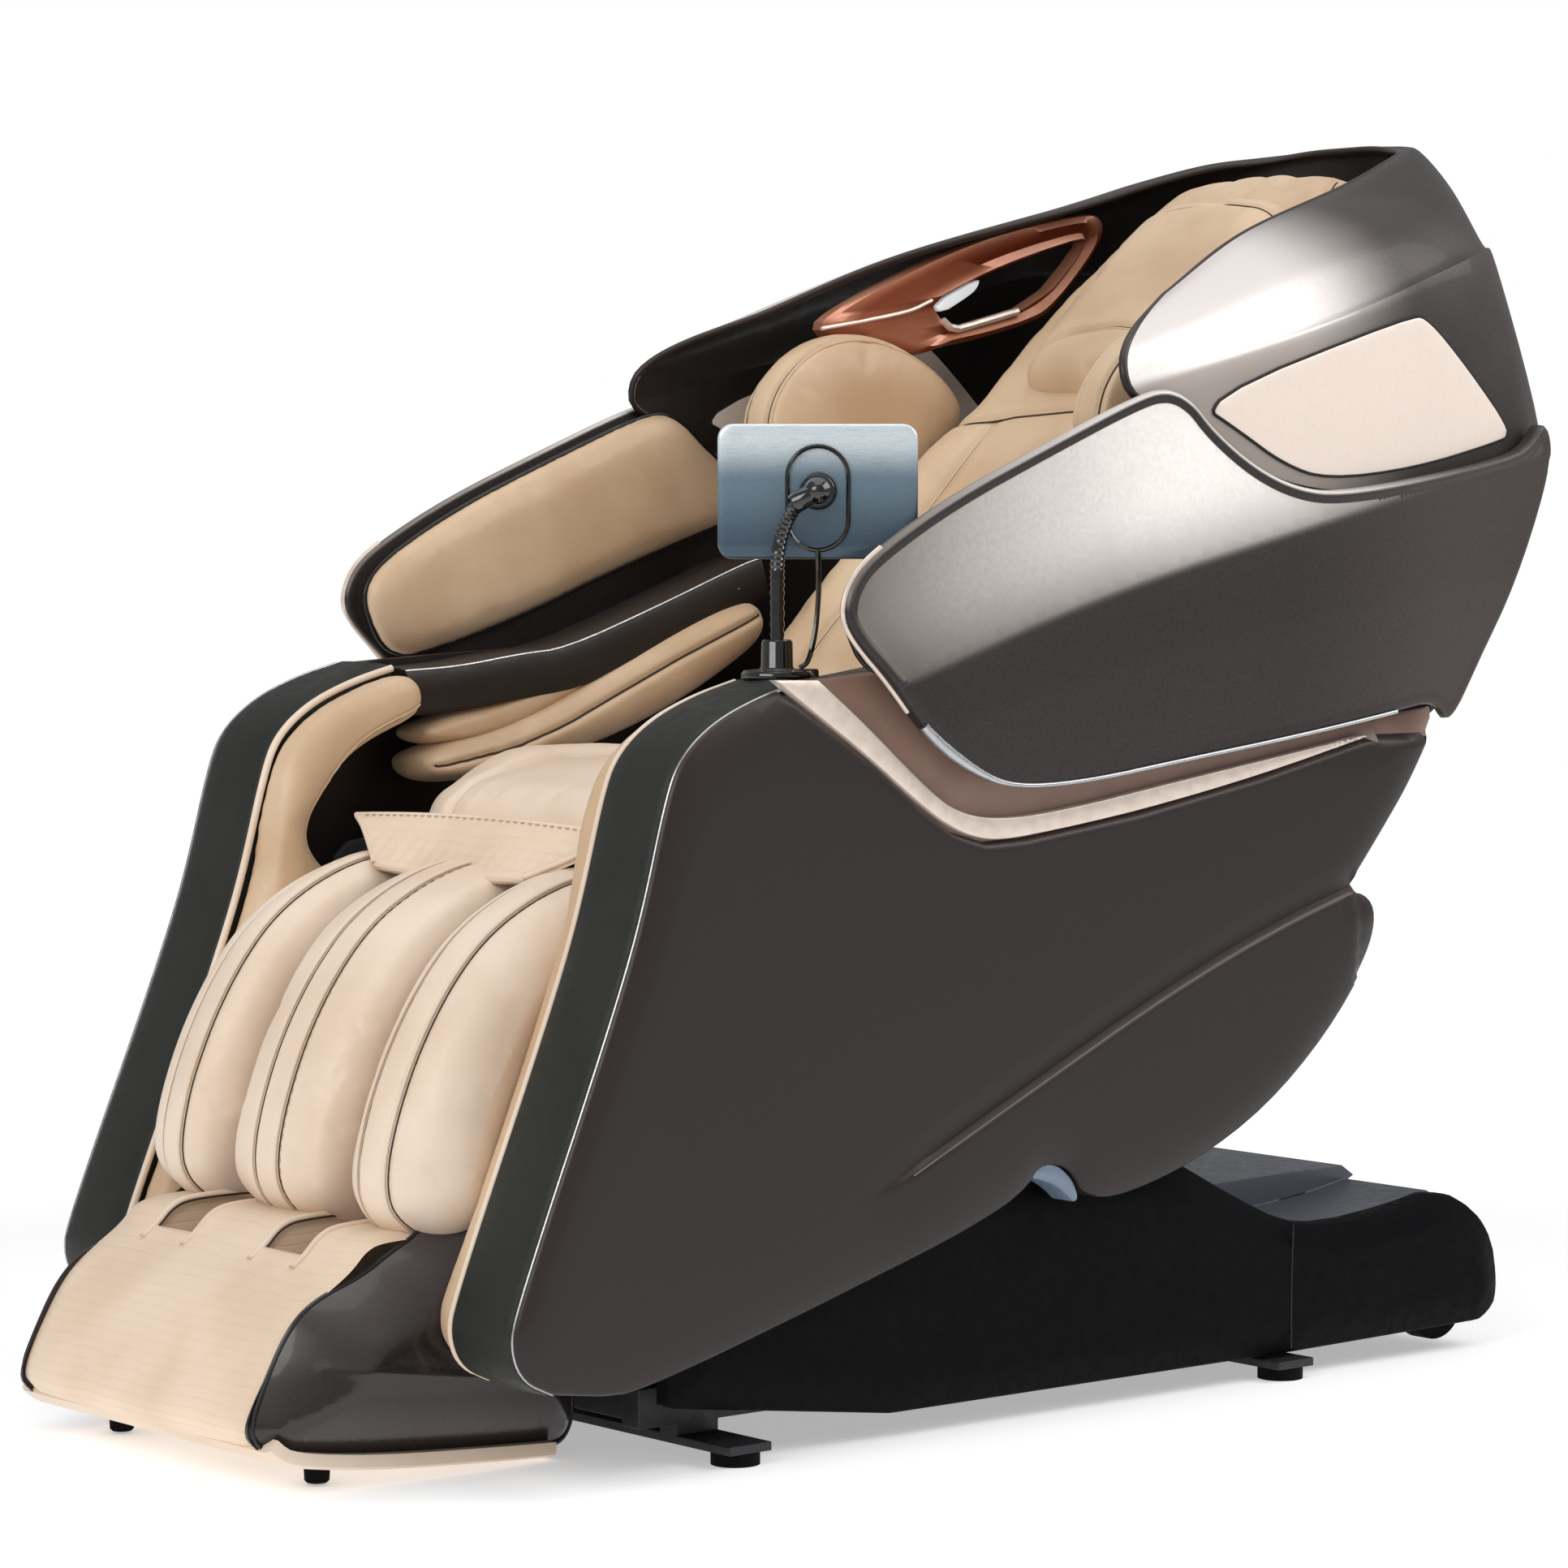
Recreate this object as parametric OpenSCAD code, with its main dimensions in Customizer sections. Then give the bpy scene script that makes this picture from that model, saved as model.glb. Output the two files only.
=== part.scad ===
// Reclining massage chair, millimetres. +Z up, the sitter faces -Y, the sitter's left is +X.
// The origin is on the floor under the middle of the chair. Side outlines are (Y, Z) points.

/* [Shells] */
// Outer face of a wing, from the centre line
wing_out = 394; // [392:1:396]
// Thickness of a wing
wing_t = 18; // [14:1:18]
// Outer face of a side panel, from the centre line
panel_out = 366; // [360:1:366]
// Inner face of a side panel's outer shell
panel_in = 330; // [329:1:334]
// Depth of the dark front band behind its front edge
band_depth = 22; // [16:1:24]
// Thickness of moulded plastic shells
shell_t = 5; // [4:1:6]
// Height of the hood's top
hood_top = 1222; // [1200:1:1222]

/* [Seat] */
// Half of the width between the arm pads
seat_half = 240; // [240:1:244]
// Height of the seat cushion's bottom
cushion_z = 518; // [517:1:522]
// Width of the middle calf bolster
middle_w = 150; // [140:2:156]
// Width of a side calf bolster, were it centred on its pitch
bolster_w = 98; // [80:1:100]
// Distance from the middle to the centre of a side calf bolster
bolster_pitch = 165; // [160:1:170]

/* [Motion] */
// Travel of the seat carriage along its rails
slide_travel = 120; // [80:5:120]
// Radius of the hinge pins
pin_r = 10; // [9:1:11]
// Running clearance round a pin or a rod
run = 0.06; // [0.05:0.01:0.1]
// Clearance of an actuator's open eye round its cross tube
eye_gap = 7; // [6:1:8]
// Radius of the actuator rods
rod_r = 9; // [8:1:9]
// Angle of the backrest's rails above the floor
back_angle = 45; // [44:1:46]

/* [Base] */
// Half of the base's width over its side covers
base_half = 328; // [320:1:328]
// Radius of the carriage's guide rails
rail_r = 10; // [8:1:11]
// Radius of a rubber foot
foot_r = 22; // [18:1:24]

/* [Tablet] */
// Width of the tablet
tablet_w = 178; // [160:2:180]
// Height of the tablet
tablet_h = 120; // [100:2:122]
// Thickness of the tablet
tablet_t = 9; // [7:1:10]

/* [Hidden] */
$fn = 48;

hip = [-60, 530];          // backrest hinge
knee = [-372, 500];        // legrest hinge
tilt = [100, 265];         // seat tilt hinge
rail_z = 140;              // height of the guide rails
rail_x = 205;              // sideways place of the guide rails
recline_eye = [-40, 430];  // cross tube that the recline actuator turns
leg_eye = [-330, 426];     // cross tube that the leg actuator turns
tilt_eye = [-180, 330];    // cross tube that the tilt actuator lifts
recline_mouth = -135;      // Y of the recline actuator's mouth
leg_mouth = -300;          // Y of the leg actuator's mouth
leg_line = 421;            // height of the leg actuator
tilt_lean = 22;            // lean of the tilt actuator, the mean direction of its eye's arc
axle = [575, 46];          // transport axle
screw_z = 100;             // height of the carriage's drive screw
back_origin = 411;         // height where the backrest's rail line would cross the middle
leg_dir = 55;              // slope of the foot unit's travel, below the floor's level
stand = [297, -290, 690.2];  // foot of the tablet's stand
tablet_turn = 50.3;        // turn of the tablet's back from facing forward
neck_r = 36;               // bend radius of the tablet's neck
ball_z = 166;              // height of the tablet's ball above its stand
hood_slope = 16.9;         // rise of the hood's shoulder line towards the rear
corner_turn = 40;          // turn of the hood's rear corners from straight back
corner_foot = 875;         // reach of those corners, where their line meets height 500
corner_top = 631;          // reach of those corners at height 1250
post_y = [-345, 255];      // front faces of the rail posts
foot_y = [-353, 328];      // places of the feet
post_t = 20;
axle_r = 6;
screw_r = 7;

// ---- outlines -------------------------------------------------------------------------------
// Cuts every corner of a closed outline, again and again, which leaves a smooth curve.
function round_off(p, times = 2) = times == 0 ? p :
    round_off([for (i = [0:len(p) - 1]) let (a = p[i], b = p[(i + 1) % len(p)])
        each [0.75 * a + 0.25 * b, 0.25 * a + 0.75 * b]], times - 1);
// Rounds an open line the same way, and keeps its two ends.
function round_line(p, times = 2) = times == 0 ? p :
    round_line(concat([p[0]], [for (i = [0:len(p) - 2]) let (a = p[i], b = p[i + 1])
        each [0.75 * a + 0.25 * b, 0.25 * a + 0.75 * b]], [p[len(p) - 1]]), times - 1);
function reverse(p) = [for (i = [len(p) - 1:-1:0]) p[i]];
function heading(p, i) = let (a = p[max(i - 1, 0)], b = p[min(i + 1, len(p) - 1)]) (b - a) / norm(b - a);
// Moves an open line sideways, to the left of its direction.
function beside(p, d) = [for (i = [0:len(p) - 1]) let (h = heading(p, i)) p[i] + d * [-h.y, h.x]];
function strip(p, d) = concat(p, reverse(beside(p, d)));

// Front edge of a side panel, from the top of the arm down to its toe.
front_edge = round_line([[-312, 690], [-362, 677], [-412, 656], [-448, 626], [-463, 590],
    [-486, 503], [-507, 442], [-549, 340], [-584, 259], [-620, 172], [-630, 140], [-618, 108],
    [-585, 93]]);
panel_bottom = [[-517, 84], [-468, 92], [-362, 120], [-215, 161], [-84, 204], [-48, 224]];
hook = [[-34, 240], [-6, 240], [9, 228], [19, 212]];
tail = [[58, 202], [162, 227], [259, 273], [341, 338], [397, 405], [413, 446], [400, 470],
    [368, 472]];
panel_rear = [[415, 525], [460, 578], [504, 650], [480, 646], [400, 640], [288, 652], [142, 678],
    [0, 697], [-100, 702], [-250, 694]];
// Top edge of an arm, and the line where the wing's lower edge lies over it.
arm_top = round_line([[-296, 686], [-230, 689], [-155, 700], [-101, 704], [14, 744], [131, 788],
    [150, 792]]);
strip_outer = [[-349, 691], [-317, 669], [-247, 624], [-180, 575], [-141, 552], [-102, 541],
    [-53, 543], [89, 561], [248, 589], [392, 621]];
strip_inner = [[384, 624], [303, 612], [142, 589], [-13, 566], [-93, 561], [-142, 571],
    [-180, 597], [-247, 652], [-300, 691]];
wing_outline = round_off([[-289, 748], [-277, 781], [-245, 807], [-159, 853], [-42, 901], [59, 941],
    [103, 953], [136, 942], [163, 914], [216, 880], [270, 861], [325, 857], [436, 870], [552, 890],
    [590, 902], [612, 930], [624, 906], [617, 862], [576, 767], [530, 696], [484, 628], [468, 656],
    [405, 645], [272, 626], [112, 607], [10, 594], [-71, 590], [-120, 598], [-188, 636],
    [-235, 689], [-273, 723]]);
wing_pad_outline = round_off([[-190, 704], [-203, 735], [-183, 769], [-118, 810], [37, 872],
    [140, 906], [156, 866], [150, 824], [29, 782], [-105, 734]]);
inlay_outline = round_off([[150, 940], [438, 1027], [462, 1024], [520, 976], [583, 915],
    [565, 907], [443, 880], [323, 869], [265, 883], [205, 914]], 1);
bolster_front = [[-364, 512], [-397, 514], [-434, 509], [-480, 492], [-526, 464], [-562, 424],
    [-594, 373], [-616, 322], [-629, 277], [-631, 247], [-621, 226], [-596, 208], [-556, 200]];
bolster_back = [[-528, 232], [-512, 300], [-474, 376], [-424, 430], [-388, 462], [-362, 486]];
foot_front = [[-606, 212], [-634, 189], [-662, 176], [-712, 165], [-740, 142], [-764, 99],
    [-780, 68], [-780, 50], [-740, 31]];
foot_rear = [[-634, 17], [-464, 3], [-440, 9], [-431, 36], [-440, 120], [-455, 250], [-470, 320],
    [-500, 334], [-543, 277], [-574, 240]];
base_profile = [[-432, 24], [-432, 160], [-410, 220], [-380, 228], [173, 228], [257, 185],
    [327, 153], [390, 145], [482, 153], [548, 165], [600, 140], [626, 108], [634, 62], [628, 38],
    [600, 24]];
deck_line = [[174, 226], [257, 183], [327, 151], [390, 143], [482, 151], [548, 162], [600, 136],
    [624, 106], [632, 60], [626, 40]];
cover_line = [[742, 848], [690, 760], [520, 640], [380, 560], [300, 520]];
hood_side = [[80, 942], [66, 958], [72, 985], [108, 1012], [178, 1042], [247, 1074], [414, 1140],
    [600, 1200], [740, hood_top], [766, 1215], [776, 1150], [780, 1060], [780, 960], [770, 890],
    [744, 852], [443, 851], [325, 851], [265, 871], [208, 900], [163, 918], [120, 930]];
hood_plan_right = [[374, 50], [374, 560], [366, 640], [335, 708], [280, 752], [200, 775],
    [100, 780]];
hood_roof_right = [[374, 500], [374, 846], [362, 876], [300, 930], [255, 958], [155, 958]];
rim_right = [[277, 40], [274, 247], [227, 414], [180, 565], [155, 665], [95, 722], [40, 738]];
trim_outline = round_off([[245, 1022], [346, 1080], [470, 1122], [578, 1150], [612, 1144],
    [602, 1102], [507, 1034], [426, 1012], [380, 1010], [267, 1008]]);
shoulder_outline = round_off([[138, 915], [150, 962], [200, 1004], [272, 1016], [334, 1000],
    [398, 962], [362, 900], [330, 858], [230, 850]]);

// ---- building blocks ------------------------------------------------------------------------
// Side outline swept from x0 to x1.
module plate(x0, x1, points) translate([x0, 0, 0]) rotate([90, 0, 90])
    linear_extrude(x1 - x0) polygon(points);
// The same plate on both sides of the chair.
module plates(x0, x1, points) {
    plate(x0, x1, points);
    mirror([1, 0, 0]) plate(x0, x1, points);
}
// Mirrored copy for the sitter's right.
module on_side(side) mirror([side < 0 ? 1 : 0, 0, 0]) children();
// Round bar across the chair, at (Y, Z) = at.
module cross_bar(x0, x1, at, r) translate([x0, at.x, at.y]) rotate([0, 90, 0]) cylinder(h = x1 - x0, r = r);
// Box given by its two corners.
module span(low, high) translate(low) cube(high - low);
// Local frame of the backrest: y runs up its rails, z points at the sitter.
module in_back() translate([0, 0, back_origin]) rotate([back_angle, 0, 0]) children();
// Pins in the two side plates of a hinge.
module hinge_pins(at, x0, x1) for (side = [-1, 1]) on_side(side) {
    cross_bar(x0, x1, at, pin_r);
    cross_bar(x1, x1 + 4, at, pin_r + 4);
}

// Linear actuator along local z: a motor body and a tube that ends at z = 0.
module actuator_body(length) difference() {
    union() {
        translate([0, 0, -length]) cylinder(h = length, r = rod_r + 8);
        translate([-18, -52, -length]) cube([36, 44, 70]);
        translate([0, 0, -length - 14]) cylinder(h = 16, r = 15);
    }
    translate([0, 0, -length + 8]) cylinder(h = length, r = rod_r + run);
}
// Rod of an actuator, with an eye at z = reach that loosely rings a bar along X.
module actuator_rod(inside, reach, bar_r) difference() {
    union() {
        translate([0, 0, -inside]) cylinder(h = inside + reach - bar_r - eye_gap - 3, r = rod_r);
        translate([-10, 0, reach]) rotate([0, 90, 0]) cylinder(h = 20, r = bar_r + eye_gap + 8);
    }
    translate([-12, 0, reach]) rotate([0, 90, 0]) cylinder(h = 24, r = bar_r + eye_gap);
}

// ---- base -----------------------------------------------------------------------------------
module base_frame() color("dimgray") difference() {
    base_bars();
    cross_bar(-300, 300, axle, axle_r + run);
}
module base_bars() {
    for (x = [-262, 238]) span([x, -420, 30], [x + 24, 592, 66]);
    for (y = [-405, 60, 480]) span([-238, y, 32], [238, y + 30, 62]);
    for (y = foot_y) span([-foot_r - 315, y - 24, 12], [foot_r + 315, y + 24, 20]);
    for (x = [-262, 238], y = foot_y) span([x, y - 24, 20], [x + 24, y + 24, 30]);
    for (x = [-rail_x - 14, rail_x - 14], y = post_y) span([x, y, 62], [x + 28, y + post_t, rail_z + 14]);
    for (x = [-262, rail_x - 14], y = post_y) span([x, y, 62], [x + 57, y + post_t, 74]);
}
module base_cover(side) color([0.07, 0.07, 0.08]) on_side(side)
    plate(base_half - 26, base_half, round_off(base_profile, 1));
module base_cover_left() base_cover(1);
module base_cover_right() base_cover(-1);
// Rear deck and skirt, with a crowned middle and a window for the power panel.
module base_deck() color([0.28, 0.3, 0.32]) difference() {
    union() {
        plate(26 - base_half + 1, base_half - 27, strip(deck_line, -6));
        intersection() {
            plate(-190, 190, [[300, 140], [300, 172], [540, 178], [560, 165], [545, 158], [390, 142]]);
            span([-190, 300, 130], [190, 560, 176]);
        }
    }
    span([-232, 590, 52], [-158, 650, 106]);
}
module base_feet() color([0.05, 0.05, 0.05]) for (x = [-315, 315], y = foot_y)
    translate([x, y, 0]) cylinder(h = 12, r = foot_r);
module slide_rails() color("silver") for (x = [-rail_x, rail_x])
    translate([x, post_y[0] + post_t, rail_z]) rotate([-90, 0, 0])
        cylinder(h = post_y[1] - post_y[0] - post_t, r = rail_r);
// Panel with the mains inlet; the rocker switch turns in its slot.
module power_panel() color([0.1, 0.1, 0.1]) difference() {
    union() {
        span([-230, 608, 54], [-160, 626, 104]);
        span([-218, 592, 60], [-172, 608, 98]);
    }
    span([-222, 600, 60], [-194, 640, 98]);
    span([-186, 612, 62], [-166, 640, 96]);
}
module rocker_switch() color([0.6, 0.1, 0.08]) {
    plate(-184, -168, round_off([[614, 64], [614, 94], [624, 94], [628, 90], [625, 79], [630, 66],
        [624, 64]], 1));
    cross_bar(-185.6, -166.4, [619, 79], 3);
}
module transport_axle() color("silver") cross_bar(-296, 296, axle, axle_r);
module transport_wheel(side) color([0.12, 0.12, 0.12]) on_side(side) difference() {
    cross_bar(267, 291, axle, 38);
    cross_bar(260, 300, axle, axle_r + run);
}
// Motor and screw that move the carriage.
module slide_drive() color([0.5, 0.5, 0.52]) {
    span([-30, 63, screw_z - 37], [30, 90, screw_z + 24]);
    translate([0, 63 - 193 - slide_travel, screw_z]) rotate([-90, 0, 0])
        cylinder(h = 193 + slide_travel, r = screw_r);
}
module transport_wheel_left() transport_wheel(1);
module transport_wheel_right() transport_wheel(-1);

// ---- carriage -------------------------------------------------------------------------------
module carriage_frame() color([0.2, 0.2, 0.22]) difference() {
    union() {
        for (x = [-228, 182]) span([x, -300, rail_z + 26], [x + 46, 160, rail_z + 46]);
        for (y = [-300, -60, 120]) span([-182, y, rail_z + 26], [182, y + 40, rail_z + 46]);
        span([-18, -60, screw_z - 16], [18, -20, rail_z + 30]);
        plates(214, 228, [[40, rail_z + 46], [160, rail_z + 46], [tilt.x + 26, tilt.y + 10],
            [tilt.x + 14, tilt.y + 24], [tilt.x - 14, tilt.y + 24], [tilt.x - 26, tilt.y + 10]]);
    }
    cross_bar(-240, 240, tilt, pin_r + run);
    tilt_frame() translate([0, 0, -260]) cylinder(h = 260, r = rod_r + 9);
    tilt_frame() translate([-20, -54, -260]) cube([40, 50, 124]);
    translate([0, -70, screw_z]) rotate([-90, 0, 0]) cylinder(h = 60, r = screw_r + run);
}
module slide_blocks() color("white") for (x = [-rail_x, rail_x], y = [-190, 110])
    translate([x - 22, y, rail_z - 20]) difference() {
        cube([44, 50, 46]);
        translate([22, -1, 20]) rotate([-90, 0, 0]) cylinder(h = 52, r = rail_r + run);
    }
module control_box() color([0.15, 0.15, 0.16]) span([-170, -20, rail_z + 47], [-30, 100, rail_z + 105]);
module air_pump() color([0.25, 0.25, 0.27]) {
    span([30, -20, rail_z + 47], [170, 100, rail_z + 62]);
    for (x = [70, 130]) translate([x, 40, rail_z + 62]) cylinder(h = 50, r = 28);
    span([40, 34, rail_z + 62], [160, 46, rail_z + 82]);
}
module tilt_pins() color("silver") hinge_pins(tilt, 212, seat_half + 10);
// Lifts the front of the seat; leans back by the mean direction of its eye's arc.
module tilt_frame() translate([0, tilt_eye.x, tilt_eye.y]) rotate([-tilt_lean, 0, 0]) children();
module tilt_actuator() color([0.1, 0.1, 0.1]) tilt_frame() translate([0, 0, -50]) actuator_body(160);
module tilt_rod() color("silver") tilt_frame() translate([0, 0, -50]) actuator_rod(140, 50, 12);

// ---- seat -----------------------------------------------------------------------------------
module seat_frame() color([0.18, 0.18, 0.2]) difference() {
    union() {
        plates(seat_half - 10 + 0.5, seat_half - 2, round_off([[-398, 520], [-398, 478], [-330, 440],
            [-120, 310], [60, 236], [140, 236], [146, 300], [70, 420], [0, 558], [-100, 566],
            [-340, 530]], 1));
        span([-seat_half + 10, -345, 506], [seat_half - 10, -112, 512]);
        cross_bar(-seat_half + 10, seat_half - 10, tilt_eye, 12);
        cross_bar(-seat_half + 10, seat_half - 10, [-310, 480], 12);
        span([-100, -262, 400], [-40, -246, 506]);
        span([40, -200, 400], [100, -184, 506]);
    }
    for (at = [hip, knee, tilt]) cross_bar(-260, 260, at, pin_r + run);
    for (at = [[-70, leg_line], [70, recline_eye.y]]) translate([at.x, -280, at.y]) rotate([-90, 0, 0])
        cylinder(h = 110, r = rod_r + 9);
}
module seat_cushion() color([0.87, 0.75, 0.6]) {
    plate(-seat_half + 10, seat_half - 10, round_off([[-330, cushion_z], [-346, 540], [-336, 568],
        [-216, 594], [-106, 582], [-106, cushion_z]], 1));
    plate(-206, 206, [[-106, cushion_z], [-106, 574], [-60, 560], [-18, 540], [-18, cushion_z]]);
}
module side_panel(side) color([0.23, 0.19, 0.18]) on_side(side) difference() {
    plate(panel_in, panel_out, concat(front_edge,
        round_line(concat(panel_bottom, hook, tail, panel_rear), 1)));
    plate(panel_out - 8, panel_out + 2, concat(strip_outer, [[560, 640], [560, 800], [-350, 800]]));
}
module side_panel_left() side_panel(1);
module side_panel_right() side_panel(-1);
module front_band(side) color([0.17, 0.18, 0.16]) on_side(side)
    plate(268, panel_in - 1, strip(front_edge, band_depth));
module front_band_left() front_band(1);
module front_band_right() front_band(-1);
// Padded inner lining of a side, behind the front band's piping.
module side_lining(side) color([0.87, 0.75, 0.6]) on_side(side)
    plate(255, 267, concat(beside([for (p = front_edge) if (p.x < -318) p], 3),
        [[-520, 96], [-440, 116], [-380, 160], [-320, 380], [-300, 560], [-300, 668]]));
module side_lining_left() side_lining(1);
module side_lining_right() side_lining(-1);
module accent_strip(side) color([0.85, 0.66, 0.56]) on_side(side)
    plate(panel_out - 7.5, panel_out + 4, concat(strip_outer, strip_inner));
module accent_strip_left() accent_strip(1);
module accent_strip_right() accent_strip(-1);
module tail_inserts() color([0.45, 0.5, 0.56])
    plates(panel_in + 4, panel_out + 1, [[-40, 212], [-28, 233], [-4, 236], [5, 224], [12, 208], [-14, 200]]);
// Arm shell: an outer wall and a top plate that follows the rising arm line.
module armrest(side) color([0.13, 0.12, 0.12]) on_side(side) {
    plate(panel_in - 12, panel_in - 2, concat(arm_top, [[150, 706], [0, 620], [-240, 572], [-296, 572]]));
    plate(258, panel_in - 12, strip(arm_top, -12));
}
module armrest_left() armrest(1);
module armrest_right() armrest(-1);
// Two air cushions that hold the forearm: a thin upper one and a thick lower one.
module arm_pads(side) color([0.87, 0.75, 0.6]) on_side(side) {
    plate(seat_half, panel_in - 14, round_off([[-282, 608], [-280, 586], [-256, 578], [-166, 588],
        [-50, 616], [30, 645], [111, 687], [146, 714], [140, 752], [111, 746], [30, 711], [-50, 671],
        [-127, 635], [-204, 613]], 1));
    plate(seat_half + 16, panel_in - 14, round_off([[-276, 630], [-274, 616], [-204, 619],
        [-127, 641], [-50, 677], [30, 717], [111, 752], [130, 760], [132, 768], [117, 764],
        [37, 733], [-43, 697], [-121, 662], [-200, 640]], 1));
}
module arm_pads_left() arm_pads(1);
module arm_pads_right() arm_pads(-1);
// Hinge pins of the backrest and of the legrest.
module seat_pins() color("silver") {
    hinge_pins(hip, 212, seat_half + 2);
    hinge_pins(knee, 212, seat_half + 2);
}
module recline_place() translate([70, recline_mouth, recline_eye.y]) rotate([-90, 0, 0]) children();
module recline_actuator() color([0.1, 0.1, 0.1]) recline_place() actuator_body(150);
module recline_rod() color("silver") recline_place() actuator_rod(75, recline_eye.x - recline_mouth, 12);
module leg_place() translate([-70, leg_mouth, leg_line]) rotate([90, 0, 0]) children();
module leg_actuator() color([0.1, 0.1, 0.1]) leg_place() mirror([0, 1, 0]) actuator_body(140);
module leg_rod() color("silver") leg_place() actuator_rod(125, leg_mouth - leg_eye.x, 10);

// ---- tablet ---------------------------------------------------------------------------------
module at_stand() translate(stand) rotate([0, 0, tablet_turn]) children();
module tablet_base() color([0.08, 0.08, 0.08]) translate(stand) difference() {
    union() {
        cylinder(h = 8, r = 32);
        cylinder(h = 34, r = 14);
    }
    translate([0, 0, 4]) cylinder(h = 40, r = 8 + run);
}
// Upright neck that bends over to the ball behind the tablet.
module gooseneck() color([0.06, 0.06, 0.06]) at_stand() {
    translate([0, 0, 4.5]) cylinder(h = 31, r = 8);
    translate([0, 0, 35]) cylinder(h = ball_z - neck_r - 35, r = 7);
    translate([neck_r, 0, ball_z - neck_r]) rotate([90, 0, 0]) rotate([0, 0, 90]) rotate_extrude(angle = 90)
        translate([neck_r, 0]) circle(r = 7);
    translate([neck_r, 0, ball_z]) sphere(r = 12);
    cross_bar(neck_r - 17, neck_r + 17, [0, ball_z], 4);
}
module tablet() color([0.36, 0.42, 0.5]) at_stand() difference() {
    union() {
        translate([neck_r - tablet_w / 2, 20, ball_z - tablet_h / 2]) cube([tablet_w, tablet_t, tablet_h]);
        translate([neck_r, 20, ball_z]) rotate([90, 0, 0]) cylinder(h = 8, r = 16);
    }
    translate([neck_r, 0, ball_z]) sphere(r = 12.4);
}

// ---- backrest -------------------------------------------------------------------------------
module back_frame() color([0.18, 0.18, 0.2]) difference() {
    union() {
        cross_bar(-213, 213, recline_eye, 12);
        in_back() back_bars();
    }
    cross_bar(-260, 260, hip, pin_r + run);
}
// Side beams, end plates for the rails, and cross straps, in the backrest's local frame.
module back_bars() {
    for (side = [-1, 1]) on_side(side) plate(213, 227, [[12, 146], [70, 148], [112, 30], [860, 30],
        [860, -66], [60, -66], [-28, 8], [-38, 52], [-10, 100]]);
    for (y = [84, 846]) span([-213, y, -62], [213, y + 12, -18]);
    for (y = [180, 480, 780]) {
        span([-213, y, -100], [213, y + 30, -90]);
        for (side = [-1, 1]) on_side(side) span([206, y, -100], [213, y + 30, -40]);
    }
}
// Rear cover; its upper part narrows, so that it meets the hood between the wings.
module back_cover() color([0.06, 0.06, 0.07]) intersection() {
    plate(-322, 322, strip(round_line(cover_line, 1), 6));
    linear_extrude(1400) polygon(symmetric([[322, 280], [322, 540], [250, 690], [225, 770]]));
}
module back_cushion() color([0.87, 0.75, 0.6]) in_back() translate([0, 0, 36]) linear_extrude(82)
    polygon(symmetric([[206, 112], [206, 700], [188, 820], [150, 940], [136, 1012]]));
module head_pillow() color([0.87, 0.75, 0.6]) in_back() translate([0, 0, 119]) linear_extrude(34)
    polygon(symmetric([[118, 640], [124, 760], [112, 900], [96, 930]]));
function symmetric(right) = concat(right, [for (p = reverse(right)) [-p.x, p.y]]);

// Hood: a boxy rounded shell, cut open at the front and the top along its rim.
module hood_body(inset) intersection() {
    plate(-400, 400, hood_side_line(inset));
    linear_extrude(1400) polygon(symmetric([for (p = hood_plan_right) p.y < 100 ? [p.x - inset, p.y]
        : [p.x * (1 - inset / 374), p.y - inset]]));
    rotate([hood_slope, 0, 0]) translate([0, 1500, 0]) rotate([90, 0, 0]) linear_extrude(2000)
        polygon(symmetric([for (p = hood_roof_right) [p.x - inset * (p.x > 200 ? 1 : 0), p.y - inset]]));
    hood_corner(1, inset);
    hood_corner(-1, inset);
}
// Bound of one rear corner, which leans inwards towards the top.
module hood_corner(side, inset) rotate([0, 0, -side * corner_turn]) plate(-1200, 1200,
    [[-1200, 500], [corner_foot - inset, 500], [corner_top - inset, 1250], [-1200, 1250]]);
function hood_side_line(inset) = inset == 0 ? hood_side :
    [for (p = hood_side) [p.x > 700 ? p.x - inset : p.x - 40, p.y < 930 ? p.y - 60 : p.y - inset]];
module hood() color([0.55, 0.52, 0.5]) difference() {
    hood_body(0);
    hood_body(shell_t);
    linear_extrude(1400) polygon(symmetric(rim_right));
    span([-369, 80, 840], [369, 700, 880]);
}
module hood_inlays() color([0.93, 0.87, 0.8]) plates(374.2, 378, inlay_outline);
module wing(side) color([0.42, 0.38, 0.36]) on_side(side) plate(wing_out - wing_t, wing_out, wing_outline);
module wing_left() wing(1);
module wing_right() wing(-1);
module wing_pads() color([0.87, 0.75, 0.6]) plates(348, wing_out - wing_t - 1, wing_pad_outline);
module shoulder_pads() color([0.87, 0.75, 0.6]) plates(212, 260, shoulder_outline);
module shoulder_trims() color([0.62, 0.38, 0.27]) plates(262, 270, trim_outline);
module track_rails() color("silver") in_back() for (x = [-150, 150])
    translate([x, 96, -40]) rotate([-90, 0, 0]) cylinder(h = 750, r = 9);
module massage_carriage() color([0.3, 0.3, 0.32]) in_back() difference() {
    union() {
        span([-176, 300, -58], [176, 450, -24]);
        span([-80, 320, -86], [80, 430, -58]);
    }
    for (x = [-150, 150]) translate([x, 290, -40]) rotate([-90, 0, 0]) cylinder(h = 170, r = 9 + run);
    span([-97, 325, -45], [97, 425, -20]);
    span([-97, 290, -34], [97, 460, -20]);
}
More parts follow.
